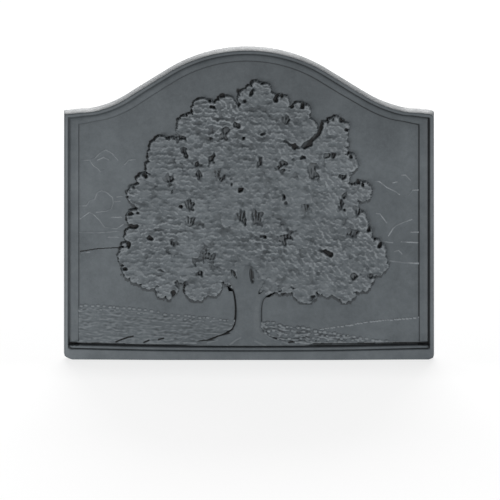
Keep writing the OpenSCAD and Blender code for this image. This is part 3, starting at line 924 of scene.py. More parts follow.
def iron_finish():
    """Cast iron with its blue-grey skin, painted darker at the top, with soot and painted shade in the
    hollows and painted highlights on rubbed high points.
    """
    f = Finish(bpy.data.materials.new("cast_iron"))
    patches = f.noise(8, 7, rough=0.85)
    blotches = f.noise(60, 4)
    sand = f.noise(650, 3)
    height = f.node("SeparateXYZ", {}, {0: f.place}, output=2)
    # painted shade: the iron is darker towards the top
    top_shade = ((height - TOP_SHADE_FROM) * TOP_SHADE_CLIMB).at_least(0).at_most(1) * TOP_SHADE_MOST
    skin = f.mixed(top_shade, f.mixed(patches, *IRON_SKIN), IRON_TOP_SHADE)
    # the attribute paints soot and shade black, and rubbed metal and highlights bright below 0
    soot_and_painted_light = f.node("Attribute", {"attribute_name": "soot_and_painted_light"}, output="Fac")
    sooted = f.mixed(soot_and_painted_light.at_least(0).at_most(1), skin, IRON_SOOT_AND_SHADE)
    lightened = f.mixed((soot_and_painted_light * -0.5).at_least(0), sooted, IRON_RUBBED_AND_HIGHLIGHT)
    roughness = 0.46 + blotches * 0.16
    bump = f.bump(0.35, 0.0006, sand * 0.7 + blotches * 0.8)
    return f.surface(lightened, roughness, bump, specular=0.22)


def black_steel_finish():
    """Flat bar painted black, with the slight texture of the paint."""
    f = Finish(bpy.data.materials.new("black_paint"))
    drift = f.noise(30, 3)
    bump = f.bump(0.3, 0.0003, f.noise(900, 2))
    return f.surface(f.mixed(drift, *PAINT), 0.38 + drift * 0.2, bump)


def zinc_finish(name, tint):
    """Bright zinc on a steel fastener, with duller patches."""
    f = Finish(bpy.data.materials.new(name))
    cloud = f.noise(260, 3)
    bump = f.bump(0.2, 0.0001, f.noise(1500, 2))
    dull = [part * ZINC_DULL for part in tint[:3]] + [1]
    return f.surface(f.mixed(cloud, dull, tint), 0.36 + cloud * 0.22, bump, metallic=1.0)


# ---- the casting ----


def top_edge(side, top):
    """Right half of the top edge, moved inwards, from the shoulder to the middle of the crest."""
    shoulder_x = PLATE_W / 2 - SHOULDER_FLAT
    shoulder_z = SHOULDER_H + SHOULDER_R
    climb = PLATE_H - SHOULDER_H
    both = (shoulder_x**2 + climb**2 - STRAIGHT_RUN**2) / (2 * climb)
    crest_r = both - SHOULDER_R
    crest_z = PLATE_H - crest_r
    turn = math.atan2(both, STRAIGHT_RUN) - math.atan2(shoulder_z - crest_z, shoulder_x)
    reach = SHOULDER_R + top
    start = math.asin(max(0, side - SHOULDER_FLAT) / reach)
    points = []
    if side < SHOULDER_FLAT:
        points.append((PLATE_W / 2 - side, SHOULDER_H - top))
    for a in np.linspace(start, turn, ARC_POINTS):
        points.append((shoulder_x - reach * math.sin(a), shoulder_z - reach * math.cos(a)))
    for a in np.linspace(turn, 0, ARC_POINTS):
        points.append(((crest_r - top) * math.sin(a), crest_z + (crest_r - top) * math.cos(a)))
    return points


def spaced(points, count):
    """The same line with count points at even distances."""
    xs, zs = np.array(points).T
    along = np.concatenate([[0], np.cumsum(np.hypot(np.diff(xs), np.diff(zs)))])
    places = np.linspace(0, along[-1], count)
    return list(zip(np.interp(places, along, xs), np.interp(places, along, zs)))


def quarter(x, z, reach_x, reach_z, first, last, cut=1.0):
    """Points of a corner, leaving out both ends: round at cut 1, a straight chamfer at cut 2."""
    turns = np.radians(np.linspace(first, last, CORNER_POINTS + 2))[1:-1]
    outs = [(abs(math.cos(a)) ** cut, math.copysign(abs(math.sin(a)) ** cut, a)) for a in turns]
    return [(x + reach_x * out, z + reach_z * up) for out, up in outs]


def half_line(side, top, bottom, low_corner, up_corner):
    """The right half of a line round the frame, from the middle of its foot up to its crest."""
    low_x, low_z = low_corner
    up_x, up_z = up_corner
    edge = PLATE_W / 2 - side
    upper = top_edge(side, top)
    shoulder = upper[0][1]
    half = spaced([(0, bottom), (edge - low_x, bottom)], BOTTOM_POINTS)
    half += quarter(edge - low_x, bottom + low_z, low_x, low_z, -90, 0, CORNER_CUT)
    half += spaced([(edge, bottom + low_z), (edge, LOW_SIDE_Z)], LOW_SIDE_POINTS)
    half += spaced([(edge, LOW_SIDE_Z), (edge, shoulder - up_z)], SIDE_POINTS)[1:]
    half += quarter(edge - up_x, shoulder - up_z, up_x, up_z, 0, 90)
    inner = [(edge - up_x, shoulder)] + [p for p in upper if p[0] < edge - up_x - 1]
    half += spaced(inner, TOP_POINTS)
    return half


def frame_line(side, top, bottom, side_y, bottom_y, sag_share):
    """A closed line round the frame, moved inwards from the outline, at its depths."""
    tight = 1 if side < CORNER_INSET else INNER_CORNERS
    right, left = (
        half_line(side, top, bottom, [size * tight for size in low], [size * tight for size in up])
        for low, up in zip(LOWER_CORNERS, UPPER_CORNERS)
    )
    ring = right + [(-x, z) for x, z in left[-2:0:-1]]
    points = []
    for x, z in ring:
        corner = LOWER_CORNERS[0 if x > 0 else 1][1] * tight
        height = smooth_step((z - bottom - corner) / BEAD_END_BLEND)
        if z > SHOULDER_H - top - SWELL_DEPTH:
            place, spread = SWELL_PLACE
            z += SHOULDER_SWELL * math.exp(-(((PLATE_W / 2 - side - abs(x) - place) / spread) ** 2))
        y = bottom_y + (side_y - bottom_y) * height
        if side > GROOVE_INSET and y < GROOVE_Y:
            y += (GROOVE_Y - y) * before(abs(z - GROOVE_Z), GROOVE_CUT)
        low = 1 - smooth_step((z - bottom) / SAG_FADE)
        drop = sag(x) * sag_share - BOTTOM_BOW * beyond(abs(x), BOW_PLACE)
        drift = CREST_DRIFT * beyond(z, CREST_DRIFT_PLACE)
        points.append(Vector((x + drift, y, z - drop * low)))
    return points


def boss_section():
    """Half section of a boss with its tapped hole: radius and depth."""
    fillet = [
        (BOSS_R + BOSS_FILLET * (1 - math.sin(a)), BACK_Y + BOSS_FILLET * (1 - math.cos(a)))
        for a in np.radians((0, 30, 60, 90))
    ]
    top = [(BOSS_R, BOSS_Y - BOSS_EDGE), (BOSS_R - BOSS_EDGE, BOSS_Y), (HOLE_R + HOLE_EDGE, BOSS_Y)]
    return fillet + top + [(HOLE_R, BOSS_Y - HOLE_EDGE), (HOLE_R, HOLE_END_Y)]


def frame_painted_light(soot_and_painted_light, at):
    """Painted light of a line of the frame at a point: a rubbed rim with a painted highlight, and
    painted shade in the hollows, darkest at the right.
    """
    sideways = at.x / (PLATE_W / 2)
    # the rim: rubbed metal with a painted highlight
    if soot_and_painted_light < 0:
        left, right = RIM_RUB_AND_HIGHLIGHT
        rub = left + (right - left) * (0.5 + 0.5 * sideways)
        return soot_and_painted_light - rub * before(at.z, RUB_TOP) * beyond(at.z, RUB_FOOT)
    # the groove's ends painted black as shadow
    if GROOVE_ENDS_X < abs(at.x) < PLATE_W / 2 - GROOVE_INSET:
        soot_and_painted_light = max(soot_and_painted_light, before(abs(at.z - GROOVE_Z), GROOVE_SHADOW))
    # painted shade on the foot, and darker at the right
    low = 1 - beyond(at.z, LOW_LINES)
    middle, further = FOOT_SHADE
    at_foot = middle + further * sideways**2
    elsewhere = 1 + RIGHT_SHADE * sideways
    return min(1, soot_and_painted_light * (low * at_foot + (1 - low) * elsewhere))


def casting(iron):
    """The plate, its frame and the bosses on its back, as one closed casting."""
    bm = bmesh.new()
    place = bm.verts.layers.int.new("place")
    # each vertex carries the frame's painted light: painted shade in the creases and a painted
    # highlight on the rim
    soot_and_painted_light = bm.verts.layers.float.new("soot_and_painted_light")

    first = frame_line(*FRAME_SECTION[0][:-1])
    verts = [bm.verts.new(p) for p in first]
    for i, v in enumerate(verts):
        v[place] = i
    back_edges = [bm.edges.new((v, verts[(i + 1) % len(verts)])) for i, v in enumerate(verts)]
    edges = back_edges
    for *sizes, line_painted_light in FRAME_SECTION[1:]:
        points = frame_line(*sizes)
        made, edges = drawn_out(bm, edges)
        for v in made:
            v.co = points[v[place]]
            v[soot_and_painted_light] = frame_painted_light(line_painted_light, v.co)
    bmesh.ops.triangle_fill(bm, edges=edges, use_beauty=True)

    base_edges = []
    for x in (-LEG_X, LEG_X):
        for z in BOLT_Z:
            base_edges += boss(bm, x, z)
    bmesh.ops.triangle_fill(bm, edges=back_edges + base_edges, use_beauty=True)
    finished("casting", bm, iron, ["fireback_plate"], smooth_angle=CASTING_SMOOTH_ANGLE)


def boss(bm, x, z):
    """Adds a boss to the casting's mesh and returns the edges of its foot."""
    section = boss_section()
    r, y = section[0]
    ring = bmesh.ops.create_circle(bm, segments=BOSS_SIDES, radius=r)["verts"]
    to_place = Matrix.Translation((x, y, z)) @ Matrix.Rotation(math.radians(-90), 4, "X")
    bmesh.ops.transform(bm, matrix=to_place, verts=ring)
    foot = list({e for v in ring for e in v.link_edges})
    edges = foot
    for r, y in section[1:]:
        made, edges = drawn_out(bm, edges)
        for v in made:
            out = Vector((v.co.x - x, 0, v.co.z - z)).normalized()
            v.co = Vector((x, y, z)) + out * r
    bmesh.ops.edgeloop_fill(bm, edges=edges)
    return foot


# ---- the oak's crown ----


def around(x, z, r, spacing, sizes, shifts, rng):
    """Circles set along the inside of a round edge, of chance sizes and shifts outwards."""
    count = round(2 * math.pi * r / spacing)
    for k in range(count):
        a = 2 * math.pi * (k + rng.uniform(*POINT_SHIFT)) / count
        size = rng.uniform(*sizes)
        out = r - size + rng.uniform(*shifts)
        yield x + out * math.cos(a), z + out * math.sin(a), size


def crown_depth(grid, rng):
    """How far each point lies inside the crown's lobed outline."""
    from_x = grid.x - CROWN_X
    from_z = grid.z - CROWN_Z
    ring = sorted((math.atan2(z, x), math.hypot(x, z)) for x, z, r in EDGE_CLUMPS)
    turns, reaches = zip(*ring)
    reach = np.interp(np.arctan2(from_z, from_x), turns, reaches, period=2 * math.pi)
    depth = reach - np.hypot(from_x, from_z)

    def lobe(x, z, r, inset=0):
        grid.raise_to(depth, x, z, r + EDGE_REACH, lambda away: r - inset - away)

    for x, z, r in EDGE_CLUMPS:
        x, z = CROWN_X + x, CROWN_Z + z
        lobe(x, z, r, CLUMP_INSET)
        for bunch_x, bunch_z, bunch in around(x, z, r, *EDGE_BUNCHES, rng):
            lobe(bunch_x, bunch_z, bunch)
            for leaf in around(bunch_x, bunch_z, bunch + LEAF_OUTSET, *EDGE_LEAVES, rng):
                lobe(*leaf)
    return depth


def crown_clumps(grid, rng):
    """Leaf clumps that overlap at different levels, each with a wavy edge."""
    clumps = grid.filled()
    places = [(CROWN_X + x, CROWN_Z + z, r * EDGE_CLUMP_SHARE) for x, z, r in EDGE_CLUMPS]
    places += [(x, z, rng.uniform(*CLUMP_R)) for x, z in grid.scattered(CLUMP_SPACING, rng)]
    for x, z, r in places:
        base = rng.uniform(0, CLUMP_STEP)
        waves, first = rng.integers(*CLUMP_WAVES), rng.uniform(0, FULL_TURN)
        near = grid.window(x, z, r * CLUMP_MARGIN)
        from_x, from_z = grid.x[near] - x, grid.z[near] - z
        edge = r * (1 + CLUMP_WAVINESS * np.sin(waves * np.arctan2(from_z, from_x) + first))
        away = np.hypot(from_x, from_z) / edge
        level = base + CLUMP_RISE * (1 - away**2)
        clumps[near] = np.maximum(clumps[near], np.where(away < 1, level, 0))
    return clumps


def crown_sprays(grid, rng):
    """Sprays of leaves, a little wider than high."""
    sprays = grid.filled()
    for x, z in grid.scattered(SPRAY_SPACING, rng):
        base = rng.uniform(0, SPRAY_STEP)
        r = rng.uniform(*SPRAY_R)
        for shift in SPRAY_KNOBS:
            grid.dome(sprays, x + shift * r, z, r * SPRAY_KNOB_R, SPRAY_RISE, base)
    return sprays


def crown_leaves(grid, rng):
    """Small lobed leaves that lie level on the left and hang on the right."""
    leaves = grid.filled()
    for x, z in grid.scattered(LEAF_SPACING, rng):
        base = rng.uniform(0, LEAF_STEP)
        size = rng.uniform(*LEAF_SIZE)
        a = math.radians(rng.normal(at_z(LEAF_LEAN, x), LEAF_LEAN_SPREAD) + rng.choice((0, 180)))
        for along, aside, r, top in LEAF_LOBES:
            lobe_x = x + size * (along * math.cos(a) - aside * math.sin(a))
            lobe_z = z + size * (along * math.sin(a) + aside * math.cos(a))
            grid.dome(leaves, lobe_x, lobe_z, r * size, top, base)
    return leaves


def open_gaps(grid, rise, rng):
    """Opens the gaps between the leaves down to near the panel, and paints shade in them and in the
    long hollow.

    Their floors climb towards the left, in streaks like twigs that fan out.
    """
    usual, low, off_twigs, in_small = GAP_SHADE
    ragged = grid.noise(GAP_EDGE_SIZE, rng) * GAP_EDGE_NOISE
    dark = grid.filled()
    for x, z, width, height, turn in GAPS:
        near = grid.window(x, z, max(width, height) * GAP_MARGIN)
        from_x, from_z = grid.x[near] - x, grid.z[near] - z
        small = before(min(width, height), SMALL_GAP)
        away = oval(from_x, from_z, width * GAP_SPREAD, height * GAP_SPREAD, turn)
        inwards = GAP_EDGE - away + ragged[near]
        open_share = smooth_step(inwards / GAP_SOFTNESS)
        climb = np.clip(CLIMB_START - from_x / width, 0, 1) * GAP_SLOPE * (width / 2)
        fan = np.arctan2(from_z + height * FAN_DEPTH, from_x + width * rng.uniform(*FAN_SHIFT))
        turns = 2 * math.pi * fan * height * FAN_DEPTH / TWIG_PITCH
        twigs = np.cos(turns + rng.uniform(0, FULL_TURN))
        twigs = np.clip(twigs + ragged[near] * TWIG_RAGGED, -1, 1) * (1 - small)
        floor_rise = GAP_FLOOR + (climb + TWIG_FALL * np.maximum(twigs, TWIG_DIP)) * (1 - small)
        floor_rise = np.minimum(floor_rise, rise[near])
        rise[near] = rise[near] * (1 - open_share) + floor_rise * open_share
        strength = rng.uniform(*GAP_BLACK) * (1 - small) + small
        # painted shade in the gap, darkest at its lower right
        low_right = (from_x - LOW_SHARE * from_z) / max(width, height)
        shade = usual + low * low_right - off_twigs * twigs + in_small * small
        core = open_share * beyond(np.clip(shade, 0, 1) * strength, GAP_CORE)
        shaded = np.maximum(GAP_HALO_SHADE * beyond(inwards, HALO_PLACE), core)
        dark[near] = np.maximum(dark[near], np.minimum(shaded, 1))
    hollow, valley = hollow_between(grid, ragged, rng)
    rise = np.minimum(rise, GAP_FLOOR + np.clip(hollow, 0, CREASE_REACH) * CREASE_SLOPE)
    return rise, np.maximum(dark, valley)


def hollow_between(grid, ragged, rng):
    """Distance from the long hollow's ragged floor, and the streaky painted shade on that floor."""
    away = grid.filled(math.inf)
    for (x0, z0, r0), (x1, z1, r1) in zip(CREASE, CREASE[1:]):
        for t in np.linspace(0, 1, CREASE_STEPS):
            x, z, r = x0 + (x1 - x0) * t, z0 + (z1 - z0) * t, r0 + (r1 - r0) * t
            away = np.minimum(away, np.hypot(grid.x - x, grid.z - z) - r)
    streaks = grid.streaks(*CREASE_STREAKS, rng)
    jagged, wavy, streaked = CREASE_EDGE
    away = away - ragged * jagged - wavy * grid.noise(CREASE_NOISE_SIZE, rng) - streaked * streaks
    level, further, share = CREASE_SHADE
    streaky = smooth_step(level + further * beyond(grid.x, CREASE_RIGHT) + share * streaks)
    return away, before(away, CREASE_FLOOR) * streaky


def lee(grid, rise, side=KEY_LIGHT_SIDE, slope=LEE_SLOPE, reach=LEE_REACH):
    """How far each point lies below the ground between it and the lit side."""
    sheltered = grid.filled()
    for far in np.arange(grid.step, reach, grid.step):
        columns, rows = (round(far * part / grid.step) for part in side)
        ground = np.roll(rise, (-rows, -columns), axis=(0, 1))
        sheltered = np.maximum(sheltered, ground - rise - slope * far)
    return sheltered


def leaf_painted_light(grid, rise, dark=0.0, lively=1.0, broken=1.0, lightened=0.0):
    """Painted shadow in the lee, painted shade below lobes and in hollows, partly blacking, and
    painted highlights on tops.
    """
    ground = np.maximum(rise, 0)
    # painted shadow in the lee of the key light
    painted_shadow = beyond(lee(grid, ground), LEE_SHADOW) * broken
    # painted shade below the lobes
    under = UNDER_MOST * beyond(lee(grid, ground, UNDER_SIDE, UNDER_SLOPE, APRON), UNDER_SHADE)
    below = grid.blurred(ground, DEEP_SIZE) - ground
    # painted shade in deep hollows, partly blacking
    deep = sum(strength * beyond(below, place) for strength, place in DEEP_SHADE_AND_SOOT)
    fine = grid.hollows(ground, *FINE_HOLLOWS)
    # painted shade in fine hollows and painted highlights on their tops
    tone = np.where(fine > 0, FINE_SHADE * fine, FINE_HIGHLIGHT * np.minimum(fine + FINE_START, 0))
    inside = rise > APRON_RISE * 2
    level = grid.blurred(np.where(inside, ground, PANEL_SHARE * ground[inside].mean()), LEVEL_SIZE)
    tone = tone * lively
    # painted shade in wide hollows and painted light on wide tops
    for strength, size, depth in WIDE_HOLLOW_SHADE:
        tone = tone + strength * grid.hollows(level, size, depth)
    # the relief's colour made lighter by the given amount
    tone = np.where(inside, tone - lightened, 0)
    painted_light_and_soot = np.maximum(np.maximum(painted_shadow, deep), np.maximum(dark, under))
    return tone * (1 - painted_light_and_soot) + painted_light_and_soot


def wood_share(grid):
    """1 where the bare limbs show between the leaves, 0 under the leaves."""
    size, strength = WOOD_EDGE
    ragged = grid.noise(size, np.random.default_rng(WOOD_SEED)) * strength
    away = np.hypot((grid.x - WOOD_PLACE[0]) / WOOD_SIZE[0], (grid.z - WOOD_PLACE[1]) / WOOD_SIZE[1])
    return smooth_step((1 - away + ragged) / WOOD_FADE + 0.5)


def halves(count):
    """Slices of the first and the second half of a row of points, which share the middle one."""
    middle = (count - 1) // 2
    return slice(0, middle + 1), slice(middle, count)


def crown(iron):
    """The oak's leaves in four tiles, sunk where the bare limbs show."""
    grid = Grid(CROWN_SIDES, CROWN_HEIGHTS, CROWN_STEP)
    rng = np.random.default_rng(LEAF_SEED)
    depth = crown_depth(grid, rng)
    least, usual, most, chance = LIVELINESS
    lively = np.clip(usual + chance * grid.noise(LIVELY_SIZE, rng), least, most)
    level, share, size = BROKEN
    broken = smooth_step(level + share * grid.noise(size, rng))
    broken = BROKEN_LEAST + (1 - BROKEN_LEAST) * broken
    rise = LEAF_LEVEL + crown_clumps(grid, rng) + crown_sprays(grid, rng) - SPRAY_SINK
    rise = rise + lively * grid.blurred(crown_leaves(grid, rng), LEAF_SOFTNESS) - LEAF_SINK
    rise, dark = open_gaps(grid, rise, rng)

    def edged(surface):
        room = CROWN_MOST - CROWN_EASE
        over = np.maximum(surface - CROWN_EASE, 0)
        surface = np.minimum(surface, CROWN_EASE) + room * (1 - np.exp(-over / room))
        surface = np.minimum(surface, depth * SKIRT_SLOPE)
        return np.where(depth > -APRON, np.maximum(surface, APRON_RISE), surface)

    lightened = CROWN_LIGHTENING[0] + CROWN_LIGHTENING[1] * beyond(grid.x, CROWN_LIGHTENING_PLACE)
    # painted shadow, shade and highlights on the leaves
    painted_light_and_soot = leaf_painted_light(grid, edged(rise), dark, lively, broken, lightened)
    rise = edged(rise * (1 - wood_share(grid)))
    for level, rows in zip(("lower", "upper"), halves(len(grid.zs))):
        for side, cols in zip(("left", "right"), halves(len(grid.xs))):
            name = level + "_" + side + "_leaves"
            nodes = ["oak_crown"] if name == "lower_left_leaves" else []
            relief(name, grid, rise, painted_light_and_soot, iron, nodes, rows, cols)


# ---- the trunk ----


def from_edge(grid, edge):
    """Distance from one of the trunk's leaning edges."""
    return np.abs(grid.x - edge) / np.hypot(1, np.gradient(edge, grid.step, axis=0))


def beside_trunk(grid, left, right, above_ground):
    """Painted shadow in the cut that runs down both sides of the trunk and out along its roots."""
    wide, narrow = CUT_LEFT
    half = narrow + (wide - narrow) * before(grid.z, CUT_WIDENS)
    cut = smooth_step(half - from_edge(grid, left) + 0.5) * beyond(grid.x, CUT_LEFT_END)
    right_cut = smooth_step(CUT_RIGHT - from_edge(grid, right) + 0.5) * (grid.x < CUT_RIGHT_END)
    cut = np.maximum(cut, CUT_RIGHT_SHADE * right_cut)
    cut = np.maximum(cut, smooth_step(grid.ridges(ROOT_CUTS, ROOT_CUT_R) * ROOT_CUT_EDGE))
    return np.where((grid.z < CUT_TOP) & (above_ground > 0), cut, 0)


def bark(grid, across, inside, wobble, above_roots):
    """Low waves of bark, higher on the roots."""
    waves = grid.filled()
    for count, phase in BARK_WAVES:
        waves += np.sin(across * count + phase + wobble * BARK_WOBBLE) / len(BARK_WAVES)
    least, on_roots = BARK_RISE
    return waves * (least + on_roots * (1 - above_roots)) * beyond(inside, BARK_EDGE)


def slotted(grid, rise, wobble):
    """Sinks the slots between the limbs: the new rise, and the slots' streaky painted shade."""
    slots = grid.filled()
    for x, z, width, height, turn in SLOTS:
        away = oval(grid.x - x, grid.z - z, width, height, turn) + SLOT_WOBBLE * wobble
        slots = np.maximum(slots, before(away, SLOT_SHADE))
        rise = rise * (1 - SLOT_DEPTH * before(away, SLOT_CUT))
    lean, pitch, level, strength = SLOT_STREAKS
    split = np.cos(2 * math.pi * (grid.x + lean * grid.z) / pitch)
    return rise, smooth_step(slots * (level - strength * split))


def trunk(iron):
    """The trunk with its roots, and the limbs that show between the leaves."""
    grid = Grid(TRUNK_SIDES, TRUNK_HEIGHTS, TRUNK_STEP)
    rng = np.random.default_rng(TRUNK_SEED)
    left, right = (
        at_z(line, grid.z) + reach * np.exp((grid.z - FLARE_Z) / soft) for line, reach, soft in FLARES
    )
    size, width = WOBBLE
    wobble = grid.noise(size, rng) * width
    across = (2 * grid.x - left - right + wobble) / (right - left)
    inside = np.minimum(grid.x - left, right - grid.x) + wobble * WOBBLE_OUTLINE
    sideways, upwards = TRUNK_ROUND
    rise = TRUNK_RISE * np.clip(1 - np.abs(across) ** sideways, 0, 1) ** upwards
    above_roots = beyond(grid.z, ROOTS_PLACE)
    rise = rise * (ROOT_SHARE + (1 - ROOT_SHARE) * above_roots)
    rise = rise + bark(grid, across, inside, wobble, above_roots)
    ridges = grid.ridges(ROOT_RIDGES, RIDGE_R)
    rise, slot_shade = slotted(grid, rise + RIDGE_RISE * ridges, wobble)
    bare = np.maximum(wood_share(grid), before(grid.z, BARE_BELOW))
    whole = np.minimum(rise, inside * SKIRT_SLOPE)
    rise = rise * bare + np.minimum(rise, UNDER_LEAVES) * (1 - bare)
    rise = np.minimum(rise, inside * SKIRT_SLOPE)
    rise = np.minimum(rise, (TRUNK_END_Z - grid.z) * SKIRT_SLOPE)
    above_ground = (grid.z - GROUND_LINE + sag(grid.x) + ROOT_SINK) * SKIRT_SLOPE
    rise = np.minimum(rise, above_ground)
    size, strength = BARK_GRAIN
    rise += np.where(rise > STANDS_OUT, grid.noise(size, rng) * strength, 0)
    on_panel = (inside > -APRON) & (grid.z < APRON_BELOW) & (above_ground > -APRON)
    rise = np.where(on_panel, np.maximum(rise, APRON_RISE), rise)
    # painted shadow and shade on the trunk and in its slots
    painted_light_and_soot = leaf_painted_light(grid, np.where(grid.z > WHOLE_ABOVE, np.maximum(whole, rise), rise), slot_shade)
    streaks = BARK_SOOT + BARK_SOOT * grid.streaks(*BARK_STREAKS, rng)
    painted_light_and_soot = painted_light_and_soot + np.where((rise > STANDS_OUT) & (painted_light_and_soot < HALF_BLACK), streaks, 0)
    # painted shadow in the cut beside the trunk
    painted_light_and_soot = np.maximum(painted_light_and_soot, beside_trunk(grid, left, right, above_ground))
    # painted highlights on the rubbed ridges
    painted_light_and_soot = np.where(ridges > 0, painted_light_and_soot - RIDGE_RUB_AND_HIGHLIGHT * ridges, painted_light_and_soot)
    relief("trunk", grid, rise, painted_light_and_soot, iron, ["oak_trunk"])


# ---- ground ----


def bush_row(grid, rise, line, spacing, r, top, long, rng):
    """A row of small rounded bushes along a chosen line, each about long times as wide as high."""
    x = line[0][0]
    while x < line[-1][0]:
        size = r * rng.uniform(*BUSH_SIZE)
        height = top * rng.uniform(*BUSH_RISE)
        z = at_z(line, x) - size * rng.uniform(*BUSH_SINK)
        half = size * (long - 1)
        for shift in np.linspace(-half, half, BUSH_KNOBS):
            grid.dome(rise, x + shift, z - BUSH_LEAN * shift, size, height)
        x += spacing * rng.uniform(*BUSH_STRIDE)


def drifting(grid, sizes, rng):
    """Chance values around 0 of several sizes, each with its strength."""
    return sum(grid.noise(size, rng) * strength for size, strength in sizes)


def streaked(grid, base, streaks, rng):
    """A surface with streaks of several shapes on it, each with its strength."""
    for strength, *shape in streaks:
        base = base + strength * grid.streaks(*shape, rng)
    return base


def in_front(grid, rise):
    """Ends the ground at the groove above the bead, a little short of it at both ends, where the
    groove is painted black as shadow.
    """
    left = before(grid.x, GROUND_LEFT_END)
    right = beyond(grid.x, GROUND_RIGHT_END)
    behind = grid.z - GROUND_LINE + sag(grid.x)
    step = GROUND_END_STEPS[0] * left + GROUND_END_STEPS[1] * right
    ground = np.minimum(rise, (behind - step) * SKIRT_SLOPE)
    in_groove = (behind > 0) & (grid.z < GROUND_LINE + IN_GROOVE) & (rise > 0)
    ground = np.where(in_groove, np.maximum(ground, APRON_RISE), ground)
    # the groove's ends painted black as shadow
    painted_shadow = np.where(in_groove & (ground <= APRON_RISE), left + right, 0)
    return ground, np.clip(painted_shadow, 0, 1)


def ground_painted_light(grid, rise, painted_shadow, size, depth, dark, light):
    """Painted shade in the ground's hollows and painted highlights on its tops, in those strengths,
    under the given painted shadow.
    """
    fine = grid.hollows(np.maximum(rise, 0), size, depth)
    # painted shade in hollows, none at the upper edge's foot, and painted highlights on tops
    fine = np.where(fine > 0, dark * fine * beyond(rise, CLEAN_FOOT), light * fine)
    fine = np.where(rise > ON_GROUND, fine, 0)
    return np.where(painted_shadow > LEAST_BLACK, painted_shadow, fine)


def left_field(iron):
    """The rippled pasture at the left, with rows of low bushes and a few tufts."""
    grid = Grid(*FIELD_PLACE, GROUND_STEP)
    rng = np.random.default_rng(FIELD_SEED)
    below_edge = at_z(FIELD_EDGE, grid.x) - grid.z
    drift = drifting(grid, RIPPLE_DRIFT, rng)
    wave = np.sin(2 * math.pi * (grid.z + drift + RIPPLE_LEAN * grid.x) / RIPPLE_PITCH)
    turf = streaked(grid, RIPPLE_SHARE * wave, FIELD_STREAKS, rng)
    rise = FIELD_RISE + RIPPLE_RISE * np.clip(turf, *RIPPLE_LIMITS)
    bushes = grid.filled(OUTSIDE)
    for drop, sizes in FIELD_BUSHES:
        bush_row(grid, bushes, [(x, z - drop) for x, z in FIELD_EDGE], *sizes, rng)
    rise = np.maximum(np.minimum(rise, below_edge * FIELD_EDGE_SLOPE), bushes)
    tufts = grid.ridges(TUFTS, TUFT_R)
    rise = np.where(tufts > 0, np.maximum(rise - TUFT_DEPTH * tufts, APRON_RISE), rise)
    rise, painted_shadow = in_front(grid, rise)
    # the tufts' cuts painted black as shade
    painted_shadow = np.maximum(painted_shadow, smooth_step(tufts * TUFT_BLACK))
    painted_light_and_soot = ground_painted_light(grid, rise, painted_shadow, *FIELD_PAINTED_LIGHT)
    relief("left_pasture", grid, rise, painted_light_and_soot, iron, ["left_field"])


def right_slope(iron):
    """The slope of scrub at the right, with rows of bushes, a hedge and the meadow below it."""
    grid = Grid(*SLOPE_PLACE, GROUND_STEP)
    rng = np.random.default_rng(SLOPE_SEED)
    below_edge = at_z(SLOPE_EDGE, grid.x) - grid.z
    drift = drifting(grid, SCRUB_DRIFT, rng)
    wave = np.sin(2 * math.pi * (below_edge + drift) / SCRUB_PITCH)
    scrub = streaked(grid, SCRUB_SHARE * wave, SLOPE_STREAKS, rng)
    rise = SLOPE_RISE + SCRUB_RISE * np.clip(scrub, *SCRUB_LIMITS)
    rise = np.minimum(rise, below_edge * SLOPE_EDGE_SLOPE)
    for row, sizes in enumerate(SLOPE_BUSHES):
        line = [(x, z - BUSH_ROW_PITCH * row + rng.uniform(*BUSH_ROW_SHIFT)) for x, z in SLOPE_EDGE]
        bush_row(grid, rise, line, *sizes, rng)
    hedge = grid.filled(OUTSIDE)
    bush_row(grid, hedge, HEDGE, *HEDGE_BUSHES, rng)
    meadow = np.minimum(MEADOW_RISE, (at_z(HEDGE, grid.x) - grid.z - MEADOW_DROP) * MEADOW_SLOPE)
    meadow = np.where(grid.x > HEDGE[0][0], meadow, OUTSIDE)
    rise = np.maximum(np.maximum(rise, hedge), meadow)
    rise, painted_shadow = in_front(grid, rise)
    # painted highlights on the hedge
    painted_light_and_soot = ground_painted_light(grid, rise, painted_shadow, *SLOPE_PAINTED_LIGHT) - np.clip(hedge, 0, 1)
    painted_light_and_soot = np.where(rise > ON_GROUND, painted_light_and_soot, np.maximum(painted_light_and_soot, 0))
    relief("right_bushes", grid, rise, painted_light_and_soot, iron, ["right_slope"])


def stroke(grid, rise, line, r, top, rng):
    """A fine raised line of uneven strength."""

    def profile(away, high):
        return np.where(away < r, high * (1 - (away / r) ** 2), (r - away) * SKIRT_SLOPE)

    for x, z in points_on(line, STROKE_PITCH):
        high = top * rng.uniform(*STROKE_HEIGHT)
        z += rng.uniform(*STROKE_SHIFT)
        grid.raise_to(rise, x, z, r + STROKE_REACH, lambda away: profile(away, high))


def scenery(iron):
    """Fine raised lines of the far hills and clouds, painted bright as highlights, and the horizon
    painted dark as a shadow line.
    """
    rng = np.random.default_rng(SCENERY_SEED)
    share, size = UNEVEN
    for side, (place, lines, horizon, bright) in SCENERY.items():
        grid = Grid(*place, SCENERY_STEP)
        rise = grid.filled(OUTSIDE)
        for line in lines:
            stroke(grid, rise, line, SCENERY_R, SCENERY_RISE, rng)
        uneven = np.clip(1 + share * grid.noise(size, rng), *UNEVEN_LIMITS)
        # painted highlights on the lines
        painted_light_and_soot = -bright * np.clip(rise / SCENERY_RISE, 0, 1) * uneven
        if horizon:
            dark = grid.filled(OUTSIDE)
            stroke(grid, dark, horizon, HORIZON_R, SCENERY_RISE, rng)
            # the horizon painted black as a shadow line
            painted_light_and_soot = np.where(dark > 0, 1, painted_light_and_soot)
            rise = np.maximum(rise, dark)
        relief(side + "_far_hills", grid, rise, painted_light_and_soot, iron)


# ---- legs and fasteners ----


